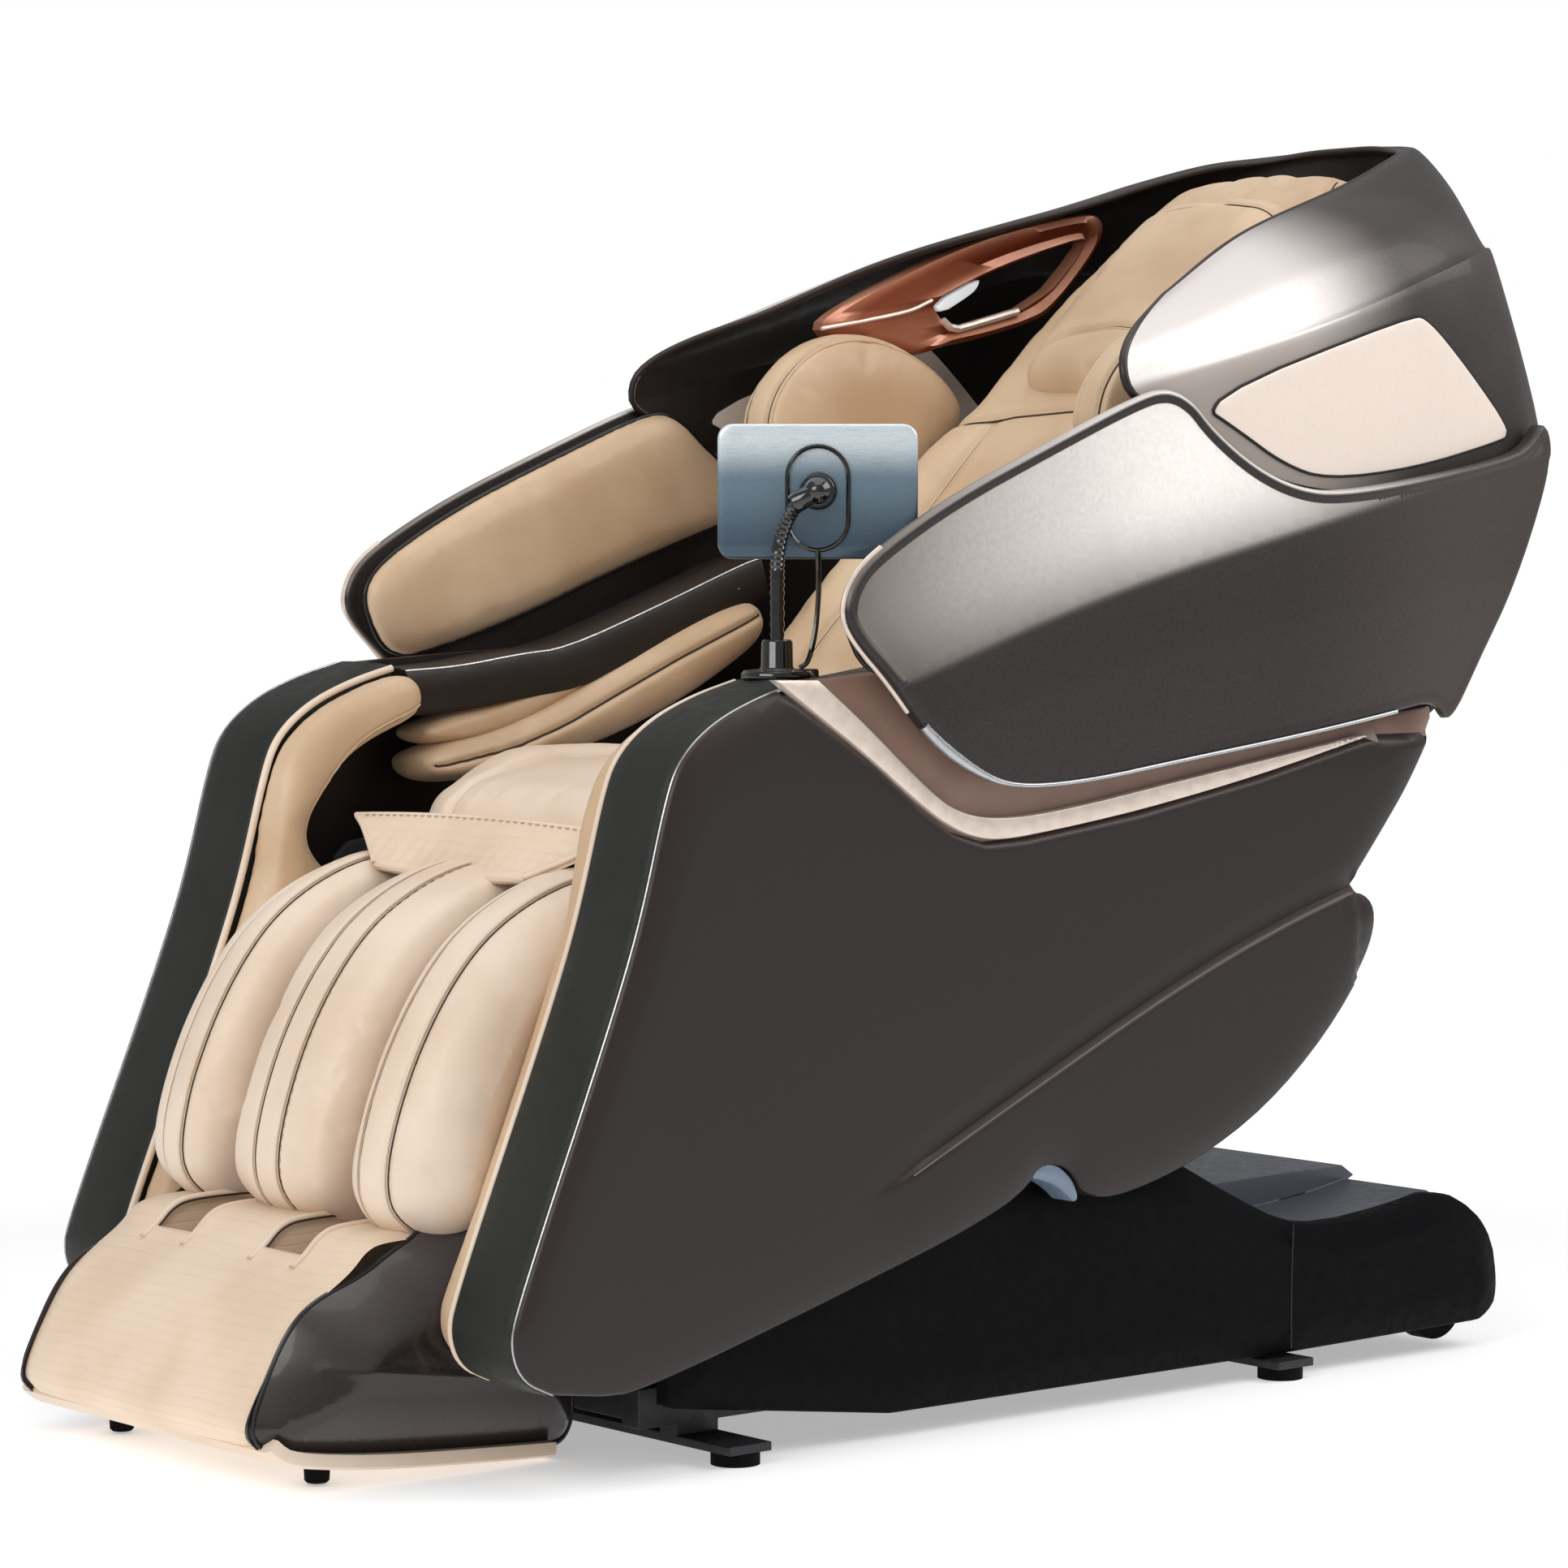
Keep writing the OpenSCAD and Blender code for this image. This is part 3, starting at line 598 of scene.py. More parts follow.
def paint(name, dark, light, metallic=0.55, rough=0.3, coat=0.7, low=-0.15, high=0.55, front=None, rear=None):
    """Lacquer with painted light: a painted highlight makes its tone lighter the more a face turns up. Its
    light tone may start from a darker painted shade at the front, and the whole may end in a painted shade at
    the rear: (tone, from Y, to Y)."""
    m = Finish(name, rough, metallic, coat, 0.06)
    # Painted shade at the front: the light tone grows out of a darker front tone along Y.
    highlight_tone = m.mix(front[0], light, m.spread(m.along("Y"), front[1], front[2])) if front else light
    # Painted highlight: the more a face turns up, the more it takes the light tone.
    tone = m.mix(dark, highlight_tone, m.spread(m.facing("Z"), low, high))
    # Painted shade at the rear: the tone ends in a dark one along Y.
    if rear:
        tone = m.mix(tone, rear[0], m.spread(m.along("Y"), rear[1], rear[2]))
    flake = m.spread(m.cells(2600, "Color"), 0.2, 0.9)
    tone = m.mix(tone, tuple(min(1.0, 1.35 * c + 0.01) for c in light[:3]) + (1.0,),
                 m.spread(flake, 0.6, 1, 0, 0.04))
    m.set("Base Color", m.mix(tone, shade(dark, 0.8), m.spread(m.noise(3.5), 0.45, 0.8, 0, 0.2)))
    m.grain(rough, 260, down=0.03, up=0.05)
    m.bump(m.noise(1400, 2), 0.03, 0.0002)
    return m.material


def plastic(name, base, rough=0.45, coat=0.0, grain=420, strength=0.08, shine=0.5, mottle=0.6):
    m = Finish(name, rough, coat=coat, coat_rough=0.12)
    m.set("Specular IOR Level", shine)
    m.set("Base Color", m.mix(base, shade(base, 0.72), m.spread(m.noise(14, 4), 0.4, 0.75, 0, mottle)))
    m.grain(rough, 90, 4)
    m.bump(m.noise(grain * 3, 3), strength, 0.0004)
    return m.material


def metal(name, base, rough=0.25, brushed=(1, 1, 1), coat=0.0, metallic=1.0):
    m = Finish(name, rough, metallic, coat)
    m.set("Base Color", m.mix(base, shade(base, 0.78), m.spread(m.noise(60, 4, brushed), 0.35, 0.7, 0, 0.5)))
    m.grain(rough, 320, 3, brushed, up=0.1)
    m.bump(m.noise(900, 2, brushed), 0.04, 0.0002)
    return m.material


def tablet_skin(name):
    """Brushed case, silver at its top and slate blue lower down."""
    m = Finish(name, 0.28, 0.45, 0.4)
    tone = m.mix(srgb(66, 86, 102), srgb(112, 134, 148), m.spread(m.along("Z"), 0.80, 0.87))
    tone = m.mix(tone, srgb(226, 236, 240), m.spread(m.along("Z"), 0.865, 0.905))
    m.set("Base Color", m.mix(tone, srgb(70, 88, 102),
                              m.spread(m.noise(60, 4, (1, 1, 14)), 0.45, 0.8, 0, 0.25)))
    m.grain(0.3, 320, 3, (1, 1, 14), up=0.06)
    m.bump(m.noise(900, 2, (1, 1, 14)), 0.03, 0.0002)
    return m.material


def glow(name, base, strength):
    m = Finish(name, 0.3, coat=0.5)
    m.set("Base Color", m.mix(base, (1, 1, 1, 1), m.spread(m.noise(80), 0.4, 0.7, 0, 0.3)))
    m.set("Emission Color", base)
    m.set("Emission Strength", strength)
    return m.material


SKIN = leather("beige_leather", srgb(238, 219, 199), srgb(224, 201, 177))
# Darker, warmer copy of the beige leather: painted shade for the inner cushions.
SKIN_SHADED = leather("beige_leather_painted_shade", srgb(218, 190, 157), srgb(198, 166, 131))
# Darker, greyer copy of the beige leather: painted shade for the recessed well floors.
WELL = leather("well_leather_painted_shade", srgb(214, 203, 190), srgb(196, 182, 166))
QUILT = quilted("quilted_leather", srgb(236, 213, 188), srgb(224, 199, 172))
THREAD = plastic("seam_thread", srgb(58, 42, 32), 0.7)
STITCH = plastic("stitch_thread", srgb(198, 168, 132), 0.6)
# Lacquers with painted light: a painted highlight on faces turned up. The wing also gets painted shade at its
# front, and the wing and hood get painted shade at their rear.
PANEL = paint("panel_lacquer", srgb(38, 30, 29), srgb(60, 50, 46), 0.4, 0.44, 0.1, -0.2, 0.7)
WING = paint("wing_lacquer", srgb(38, 31, 29), srgb(214, 207, 201), 0.35, 0.46, 0.08, 0.0, 0.42,
             (srgb(112, 103, 96), -0.30, 0.16), (srgb(66, 57, 54), 0.24, 0.52))
HOOD = paint("hood_lacquer", srgb(158, 147, 138), srgb(224, 216, 212), 0.35, 0.46, 0.08, -0.05, 0.3,
             None, (srgb(46, 39, 36), 0.28, 0.46))
INLAY = plastic("inlay_lacquer", srgb(242, 225, 212), 0.3, 0.5, grain=260, strength=0.02, mottle=0.06)
ROSE = metal("rose_metal", srgb(238, 220, 206), 0.34, coat=0.3, metallic=0.35)
# Copper trim: painted highlight on faces turned up, painted shade on faces turned down.
COPPER = paint("copper_trim", srgb(132, 58, 30), srgb(214, 150, 120), 0.45, 0.34, 0.3, -0.3, 0.5)
SILVER = metal("silver_line", srgb(186, 188, 190), 0.3)
# Pale metal tone: painted highlight along the leaf's upper edge.
LEAF_HIGHLIGHT = metal("leaf_edge_highlight", srgb(128, 118, 110), 0.4, metallic=0.5)
STEEL = metal("bright_steel", srgb(186, 188, 192), 0.22, (1, 18, 1))
FRAME = plastic("frame_powder_coat", srgb(34, 35, 38), 0.5, grain=700)
BAND = plastic("band_plastic", srgb(40, 42, 38), 0.5, 0.0, shine=0.25)
BROWN = plastic("recess_plastic", srgb(152, 121, 106), 0.45, 0.1)
LINING = plastic("lining_plastic", srgb(36, 31, 29), 0.45, 0.05, shine=0.3)
BLACK = plastic("gap_plastic", srgb(9, 9, 10), 0.4)
# Foot shell lacquer: painted highlight on faces turned up.
SHELL = paint("foot_shell", srgb(40, 33, 32), srgb(78, 72, 70), 0.3, 0.3, 0.35, 0.1, 0.8)
BASE = plastic("base_plastic", srgb(10, 11, 13), 0.55, 0.0, shine=0.06)
DECK = plastic("deck_plastic", srgb(84, 88, 97), 0.45, 0.1)
RUBBER = plastic("foot_rubber", srgb(14, 14, 15), 0.8, grain=900, strength=0.2, shine=0.1)
GLOSS = plastic("gloss_black", srgb(8, 8, 9), 0.12, 0.9, strength=0.02)
TABLET = tablet_skin("tablet_back")
GLASS = plastic("tablet_glass", srgb(10, 12, 16), 0.06, 1.0, strength=0.0)
BLUE = plastic("blue_plastic", srgb(112, 128, 146), 0.35, 0.3)
WHITE = plastic("white_plastic", srgb(214, 212, 206), 0.4)
RED = plastic("switch_plastic", srgb(150, 26, 20), 0.35, 0.3)
LAMP = glow("light_piece", srgb(226, 232, 238), 0.35)
ROLLER = plastic("roller_plastic", srgb(206, 198, 184), 0.4)
SIDES = (("left", 1), ("right", -1))


def cad_finish(node, material, width=1.2):
    """Keeps a CAD node, with its edges eased and its own finish."""
    o = NODES[node]
    o.data.materials.clear()
    o.data.materials.append(material)
    o.modifiers.new("weld", "WELD").merge_threshold = 0.00002
    bevel = o.modifiers.new("ease", "BEVEL")
    bevel.width, bevel.segments, bevel.limit_method = width * MM, 2, "ANGLE"
    bevel.angle_limit = math.radians(32)
    bevel.harden_normals = False
    for p in o.data.polygons:
        p.use_smooth = True
    o.modifiers.new("flat", "WEIGHTED_NORMAL").keep_sharp = True


for look, kept in (
        (FRAME, "base_frame slide_drive carriage_frame air_pump seat_frame back_frame massage_carriage"),
        (STEEL, "slide_rails transport_axle tilt_pins tilt_rod seat_pins recline_rod leg_rod track_rails"),
        (RUBBER, "base_feet transport_wheel_left transport_wheel_right"),
        (BASE, "control_box tilt_actuator recline_actuator leg_actuator"), (LINING, "legrest back_cover"),
        (ROLLER, "massage_head foot_rollers"), (DECK, "base_deck"), (GLOSS, "power_panel"),
        (RED, "rocker_switch"), (WHITE, "slide_blocks")):
    for node in kept.split():
        cad_finish(node, look)


# ---- side shells ----
FRONT_EDGE = rounded([
    (-312, 690), (-362, 677), (-412, 656), (-448, 626), (-463, 590), (-486, 503), (-507, 442), (-549, 340),
    (-584, 259), (-620, 172), (-630, 140), (-618, 108), (-585, 93)], 3)
FRONT_LINE = spaced(FRONT_EDGE, 7)
STRIP_OUTER = [
    (-349, 691), (-317, 669), (-247, 624), (-180, 575), (-141, 552), (-102, 541), (-53, 543), (89, 561),
    (248, 589), (392, 621)]
STRIP_INNER = [
    (-300, 691), (-247, 652), (-180, 597), (-142, 571), (-93, 561), (-13, 566), (142, 589), (303, 612),
    (384, 624)]
LEAF_LINE = rounded([
    (-246, 229), (-208, 244), (-111, 289), (-12, 334), (90, 380), (196, 423), (304, 460), (372, 478)])
WING_CREASE = rounded([(-262, 664), (-219, 680), (23, 758), (311, 823), (488, 862), (640, 892)])
ARM_TOP = rounded([(-296, 686), (-230, 689), (-155, 700), (-101, 704), (14, 744), (131, 788), (150, 792)])


def below(p, line):
    """Height of a side line over each point, so that it is positive under the line."""
    return np.interp(p[:, 0], line[:, 0], line[:, 1]) - p[:, 1]


def at_x(line, x):
    line = np.array(line, float)
    return np.column_stack([np.full(len(line), float(x)), line])


PANEL_OUT, WING_OUT = 366, 392.2


def panel_face(p, d):
    crown = PANEL_OUT - 6 * np.exp(-((d / 15) ** 1.2)) - round_drop(d, 3)
    under = below(p, LEAF_LINE)
    grow = step01((p[:, 0] + 246) / 120) * (p[:, 0] < 380)
    leaf = grow * (7.5 * step01(under / 5) - 3.0 * step01((under + 26) / 26))
    line = np.array(STRIP_OUTER, float)
    recess = 8 * step01((4 - below(p, line)) / 4) * (p[:, 0] > -352)
    return crown + leaf - recess


SIDE = resample(chaikin(cad_outline("side_panel_left"), 1), 7)
for word, side in SIDES:
    shape = closed_body(SIDE, 332, panel_face, 9, lines=(LEAF_LINE, STRIP_OUTER))
    v, f = beside(shape, side)
    middle = np.array([v[list(q)].mean(0) for q in f])
    above = below(middle[:, 1:], np.array(STRIP_OUTER, float)) < 0
    above &= (np.abs(middle[:, 0]) > 345) & (middle[:, 1] > -349)
    # Painted highlight: a pale cord along the leaf's upper edge, where it would catch the light.
    leaf_highlight_cord = LEAF_LINE[(LEAF_LINE[:, 0] > -200) & (LEAF_LINE[:, 0] < 368)] + [0, -4.6]
    leaf_highlight_cord = tube(at_x(spaced(leaf_highlight_cord, 8), side * 369.6), 0.8, 6)
    piece("side_shell_" + word, [(v, [q for q, up in zip(f, above) if not up], PANEL),
                                 (v, [q for q, up in zip(f, above) if up], BROWN), (*leaf_highlight_cord, LEAF_HIGHLIGHT)],
          "seat", ["side_panel_" + word], 50)

    profile = [(267, 24), (267, 3), (268.2, 0.9), (270.5, 0), (290, -1.6), (330, -2.0), (346, -1.6),
               (351, -0.4), (354, 3), (354, 8), (330, 8), (330, 24)]
    band = sweep(FRONT_LINE, profile, side)
    silver = tube(at_x(FRONT_LINE + leftward(FRONT_LINE, False) * 0.6, side * 355.4), 1.5, 8)
    cord_line = FRONT_LINE + leftward(FRONT_LINE, False) * 3.5
    cord = tube(at_x(cord_line, side * 263.8), 3.6, 12)
    piece("front_band_cover_" + word, [(*band, BAND)], "seat", ["front_band_" + word], 50)
    piece("front_band_line_" + word, [(*silver, SILVER)], "seat")
    piece("front_piping_" + word, [(*cord, SKIN)], "seat")

    # Accent strip: a bright ledge along the panel, below the brown recess under the wing.
    outer = spaced(rounded(STRIP_OUTER), 8)
    inner = spaced(rounded(STRIP_INNER), 8)
    k = len(outer)
    start = 0 if side > 0 else 5
    inner = np.stack([np.interp(np.linspace(0, 1, k), np.linspace(0, 1, len(inner)), row)
                      for row in inner.T], 1)
    ledge = closed_body(np.vstack([outer[start:] + [0, 1.2], inner[start:][::-1]]), 357,
                        flat_face(367.5, 2.2), 6, rings=(0.8, 2.2))
    piece("accent_ledge_" + word, [(*beside(ledge, side), ROSE)], "seat",
          ["accent_strip_" + word])

    # Arm shell with its inner fascia and a bright line along the fascia's top.
    top = spaced(ARM_TOP, 8)
    down = -leftward(top, False)
    fascia = [(329, 46), (329, 3), (326, 0.6), (300, 0), (272, 0), (262, 2.5), (259.5, 6), (257, 40), (260, 45),
              (266, 47), (318, 47)]
    arm = sweep(top, [(x, -n) for x, n in fascia], side)
    line = tube(at_x(top + down * 2.2, side * 262.6), 1.1, 8)
    piece("arm_shell_" + word, [(*arm, LINING), (*line, SILVER)], "seat", ["armrest_" + word],
          40)


# ---- wings ----
WING_LOOP = resample(cad_outline("wing_left"), 6)


def arc(loop, start, end):
    """Part of a closed line from the point nearest to start to the point nearest to end, the shorter way."""
    i = int(np.argmin(np.linalg.norm(loop - start, axis=1)))
    loop = np.roll(loop, -i, 0)
    j = int(np.argmin(np.linalg.norm(loop - end, axis=1)))
    return loop[:j + 1] if j <= len(loop) / 2 else loop[j:][::-1]


def wing_face(p, d):
    under = below(p, WING_CREASE)
    lean = 9.5 * np.clip(-under / 170, 0, 1) ** 1.15
    tuck = 5.0 * np.clip(under / 170, 0, 1) ** 1.5
    lip = 1.8 * step01((11 - d) / 3) * (under < -6)
    return WING_OUT - lean - tuck - round_drop(d, 4) + lip


for word, side in SIDES:
    shape = closed_body(WING_LOOP, lambda p, d: 375.5 + round_drop(d, 3), wing_face, 8,
                        rings=(1, 2.5, 4.5, 8, 11, 13, 15), lines=(WING_CREASE,))
    v, f = beside(shape, side)
    # Shading normals: turned up above the crease and forward near the front. The wing lacquer's painted
    # highlight and painted shade follow them.
    flat = shape[0][:, :2]
    under = below(flat, WING_CREASE)
    rise = 0.5 * step01(-under / 14) + 0.5 * step01(-under / 100)
    tilt = np.where(under < 0, 0.02 + 0.44 * rise, 0.02 - 0.12 * np.clip(under / 200, 0, 1))
    lead = -0.25 * (1 - step01((flat[:, 0] + 292) / 190)) * (under < 60)
    want = np.column_stack([side * np.ones(len(v)), lead, tilt])
    want /= np.linalg.norm(want, axis=1, keepdims=True)
    want[(shape[0][:, 2] < 379) | (distance(flat, WING_LOOP) < 12.5)] = 0
    piece("wing_shell_" + word, [(v, f, WING)], "backrest", ["wing_" + word], 60, want)
    low = rounded(arc(WING_LOOP, (-206, 652), (405, 645)), 1)
    rim = tube(at_x(low + [0, 0.6], side * 388.5), 2.0 + 3.4 * np.exp(-((low[:, 0] + 172) / 52) ** 2), 12)
    lip = rounded(arc(WING_LOOP, (-236, 812), (-212, 660)), 1)
    front_rim = tube(at_x(lip, side * 382.0), 2.6, 10)
    piece("wing_edge_" + word, [(*rim, SILVER), (*front_rim, ROSE)], "backrest")


# ---- hood ----
HOOD_COLUMNS, HOOD_ROWS, HOOD_THICK = 141, 37, 6
# Lines from the front round to the middle of the rear, (X, Y, Z), from the hood's lower edge up to its top.
HOOD_LEVELS = [
    [(374, 163, 905), (374, 300, 862), (374, 560, 852), (356, 630, 852), (312, 682, 852), (240, 726, 853),
     (138, 748, 853), (0, 757, 853)],
    [(374, 120, 925), (374, 320, 930), (374, 560, 925), (359, 634, 922), (316, 684, 920), (246, 732, 918),
     (140, 768, 916), (0, 778, 915)],
    [(373, 80, 942), (373, 330, 1010), (368, 500, 1060), (345, 585, 1080), (298, 640, 1080), (230, 692, 1070),
     (135, 745, 1062), (0, 772, 1060)],
    [(371, 66, 958), (366, 330, 1024), (354, 500, 1074), (330, 580, 1099), (284, 636, 1106), (218, 690, 1104),
     (125, 742, 1100), (0, 768, 1098)],
    [(362, 72, 985), (337, 330, 1072), (308, 510, 1124), (275, 594, 1149), (229, 654, 1162), (171, 704, 1168),
     (92, 738, 1168), (0, 760, 1168)],
    [(340, 108, 1012), (282, 330, 1100), (228, 530, 1160), (198, 612, 1187), (160, 676, 1206), (114, 718, 1213),
     (60, 744, 1216), (0, 752, 1217)],
    [(300, 178, 1042), (250, 330, 1106), (192, 530, 1163), (165, 615, 1190), (136, 674, 1207), (92, 712, 1214),
     (45, 731, 1220), (0, 736, 1221)],
]


def through(p, count):
    """Smooth line through given points (Catmull-Rom)."""
    p = np.array(p, float)
    q = np.vstack([2 * p[:1] - p[1:2], p, 2 * p[-1:] - p[-2:-1]])
    out = []
    for t in np.linspace(0, len(p) - 1, count):
        i = min(int(t), len(p) - 2)
        s = t - i
        a, b, c, d = q[i:i + 4]
        out.append(0.5 * (2 * b + (c - a) * s + (2 * a - 5 * b + 4 * c - d) * s * s
                          + (3 * b - a - 3 * c + d) * s ** 3))
    return np.array(out)


def hood_grid():
    rows = []
    for level in HOOD_LEVELS:
        half = np.array(level, float)
        whole = np.vstack([half, (half * [-1, 1, 1])[::-1][1:]])
        rows.append(through(whole, HOOD_COLUMNS))
    rows = np.array(rows)
    cols = [through(rows[:, j], HOOD_ROWS) for j in range(rows.shape[1])]
    return np.array(cols)


def surface_normals(g):
    a, b = np.gradient(g, axis=0), np.gradient(g, axis=1)
    n = np.cross(a, b)
    return n / np.maximum(np.linalg.norm(n, axis=2, keepdims=True), 1e-9)


HOOD_GRID = hood_grid()
HOOD_N = surface_normals(HOOD_GRID)
rows, cols = HOOD_GRID.shape[:2]
shell_out = HOOD_GRID.reshape(-1, 3)
shell_in = (HOOD_GRID - HOOD_N * HOOD_THICK).reshape(-1, 3)
quads = grid_faces(rows, cols, loop_cols=False)
wall = (np.vstack([shell_out, shell_in]), grid_walls(rows, cols, rows * cols), HOOD)
piece("hood_shell", [(shell_out, flipped(quads), HOOD), wall], "backrest", ["hood"], 40)
piece("hood_lining", [(shell_in, quads, LINING)], "backrest", (), 40)
rims = []
for deep, r, sides, look in ((HOOD_THICK / 2, 4.2, 12, PANEL), (HOOD_THICK, 1.2, 6, SILVER)):
    g = HOOD_GRID - HOOD_N * deep
    rim = np.vstack([g[0, 8:], g[1:-1, -1], g[-1, 8:][::-1]])
    rims.append((*tube(spaced(rim, 9), r, sides), look))
piece("hood_rim", rims, "backrest")

INLAY_LOOP = soft([
    (150, 940), (438, 1027), (462, 1024), (520, 976), (583, 915), (565, 907), (443, 880), (323, 869),
    (265, 883), (205, 914)], 6)
parts = []
for side in (1, -1):
    plate = closed_body(INLAY_LOOP, 366, lambda p, d: 376.6 - round_drop(d, 2.6) + 1.2 * step01(d / 60), 9,
                        rings=(1, 2.6))
    gap = tube(at_x(INLAY_LOOP, side * 374.6), 1.7, 6, closed=True)
    parts += [(*beside(plate, side), INLAY), (*gap, BLACK)]
piece("hood_inlay_plates", parts, "backrest", ["hood_inlays"])


# ---- copper trims inside the hood ----
def trim_lean(p):
    """How far the trims lean inward, to stay inside the narrowing hood."""
    return 10 * np.clip((p[:, 1] - 1040) / 100, 0, 1) + 22 * step01((p[:, 0] - 440) / 160)


def ring(outer, inner, heights):
    """Frame between two closed lines; heights are (share from outer to inner, offset)."""
    n = 96
    outer, inner = resample(outer, 3), resample(inner, 3)

    def even(loop):
        t = np.linspace(0, len(loop), n, endpoint=False)
        wrapped = np.vstack([loop, loop[:1]])
        return np.stack([np.interp(t, np.arange(len(wrapped)), row) for row in wrapped.T], 1)

    outer, inner = even(outer), even(inner)
    rows = [np.column_stack([outer * (1 - s) + inner * s, np.full(n, h)]) for s, h in heights]
    v = np.vstack(rows)
    k = len(heights)
    f = [(i * n + j, i * n + (j + 1) % n, ((i + 1) % k) * n + (j + 1) % n, ((i + 1) % k) * n + j)
         for i in range(k) for j in range(n)]
    return v, f


TRIM = chaikin([
    (226, 1028), (246, 1044), (303, 1072), (385, 1107), (482, 1138), (566, 1156), (592, 1158), (602, 1146),
    (594, 1122), (538, 1052), (518, 1040), (450, 1021), (417, 1015), (391, 1011), (366, 1002), (344, 1003),
    (306, 1012), (250, 1013)], 2)
WINDOW = chaikin([
    (382, 1058), (449, 1087), (515, 1112), (574, 1131), (577, 1124), (523, 1060), (443, 1038), (411, 1031),
    (393, 1044)], 1)
LAMP_X = 264
LAMP_LOOP = resample(chaikin([(385, 1056), (453, 1087), (449, 1076), (440, 1068), (397, 1046)], 1), 4)
RIDGE = through([(228, 1027), (290, 1037), (347, 1048), (380, 1060)], 24)
parts = []
for side in (1, -1):
    v, f = ring(TRIM, WINDOW, [(0, 276), (0, 262), (0.06, 258), (0.3, 256), (0.7, 262), (0.93, 259), (1, 262),
                               (1, 278)])
    v[:, 2] -= trim_lean(v)
    v = np.column_stack([side * v[:, 2], v[:, 0], v[:, 1]])
    parts.append((v, outward(v, f), COPPER))
    edge = arc(resample(WINDOW, 3), (396, 1042), (500, 1040))
    limb = np.column_stack([259 - trim_lean(edge), edge - [0, 1.5]])
    parts.append((*tube(limb * [side, 1, 1], 4.2, 8), ROSE))
    parts.append((*tube(at_x(RIDGE, side * 257.0), 2.2, 8), ROSE))
    v, f = closed_body(LAMP_LOOP, 262, flat_face(268, 2), 5, rings=(1, 2))
    v = np.column_stack([-side * (v[:, 2] - 2 * LAMP_X), v[:, 0], v[:, 1]])
    parts.append((v, outward(v, f), LAMP))
piece("shoulder_trim_frames", parts, "backrest", ["shoulder_trims"], 40)


# ---- padding of the leg rest ----
BOLSTER_FRONT = [
    (-364, 512), (-397, 514), (-434, 509), (-480, 492), (-526, 464), (-562, 424), (-594, 373), (-616, 322),
    (-629, 277), (-631, 247), (-621, 226), (-596, 208), (-556, 202)]
BOLSTER_BACK = [(-528, 232), (-512, 300), (-474, 376), (-424, 430), (-388, 462), (-362, 486)]
ROLL = resample(chaikin(BOLSTER_FRONT + BOLSTER_BACK, 2), 8)
ROLL_SEAM = rounded([(-366, 498)] + BOLSTER_FRONT + [(-534, 226)])


# Pads wear the shaded copy of the leather (painted shade) unless given another skin.
def pads(name, loop, faces, grid, rings, band, crown, voxel, swell, body, stands=(), skin=SKIN_SHADED, seams=(),
         trim=None):
    """A cushion on each side; seams are (line, x, options). A node of both sides goes to the left one."""
    for word, side in SIDES:
        shape = closed_body(loop, *faces, grid, rings=rings, band=band, crown=crown)
        pad = Cushion(beside(shape, side), skin, voxel=voxel, swell=swell)
        for line, x, options in seams:
            options = {k: v * side if k == "stitch_side" else v for k, v in options.items()}
            pad.seam(at_x(line, x * side), **options)
        if trim:
            pad.extra.append((*tube(at_x(loop, trim * side), 2.6, 8, closed=True), BLACK))
        stood = [n + word if n.endswith("_") else n for n in stands if n.endswith("_") or side > 0]
        pad.finish(name + word, body, stands=stood)


SEAM = {"depth": 3.6, "width": 4.2, "cord": 0.9, "pipe": 1.9, "pipe_side": 3.6}
roll = closed_body(ROLL, domed_face(-58, 34, -18), domed_face(58, 34, 18), 9,
                   rings=(2, 5, 10, 16), band=8, crown=9)
middle_roll = Cushion(beside(roll), SKIN, voxel=5.0, swell=6)
for x in (-18, 18):
    middle_roll.seam(at_x(ROLL_SEAM, x), **SEAM, stitch_side=-4.6 if x > 0 else 4.6)
middle_roll.finish("calf_roll_middle", "legrest", stands=["calf_bolsters"])
pads("calf_roll_", ROLL, (domed_face(128, 30, -18), domed_face(180, 74, 58)), 9,
     (2, 5, 10, 16, 24), 7, 8, 5.0, 6, "legrest", skin=SKIN,
     seams=((ROLL_SEAM, 142, SEAM), (ROLL_SEAM, 178, {**SEAM, "stitch_side": 4.6})))


# ---- foot unit ----
FOOT_TOP = [
    (-556, 214), (-640, 214), (-660, 207), (-674, 192), (-690, 181), (-712, 168), (-738, 145), (-764, 101),
    (-780, 68), (-779, 52), (-760, 38), (-735, 30)]
WELLS = (-87, 87)
FOOT_HALF, WELL_HALF, WELL_DEPTH = 186, 31, 84


def foot_front():
    line = spaced(rounded(FOOT_TOP, 3), 4.5)
    dense = np.array([-7, -4, -2, 0, 2, 4, 7])
    xs = sorted({round(x, 2) for c in WELLS for e in (-WELL_HALF, WELL_HALF) for x in c + e + dense}
                | {float(x) for x in np.linspace(-FOOT_HALF, FOOT_HALF, 47)})
    out = -leftward(line, False)
    rows = []
    for (y, z), n in zip(line, out):
        for x in xs:
            rise = 2.5 * math.cos(x / FOOT_HALF * math.pi / 2) - 5.0 * (1 - step01((FOOT_HALF - abs(x)) / 22))
            pit = 0.0
            for c in WELLS:
                pit = max(pit, step01((WELL_HALF + 3 - abs(x - c)) / 8) * step01((y + 676) / 16))
            swell = 4.0 * step01((y + 690) / 24) * step01((40 - abs(abs(x) - WELLS[1])) / 10) * (1 - pit)
            rows.append((x, y + n[0] * rise, z + n[1] * rise + swell * 0.4 - WELL_DEPTH * pit))
    v = np.array(rows)
    return v, grid_faces(len(line), len(xs), loop_cols=False), line


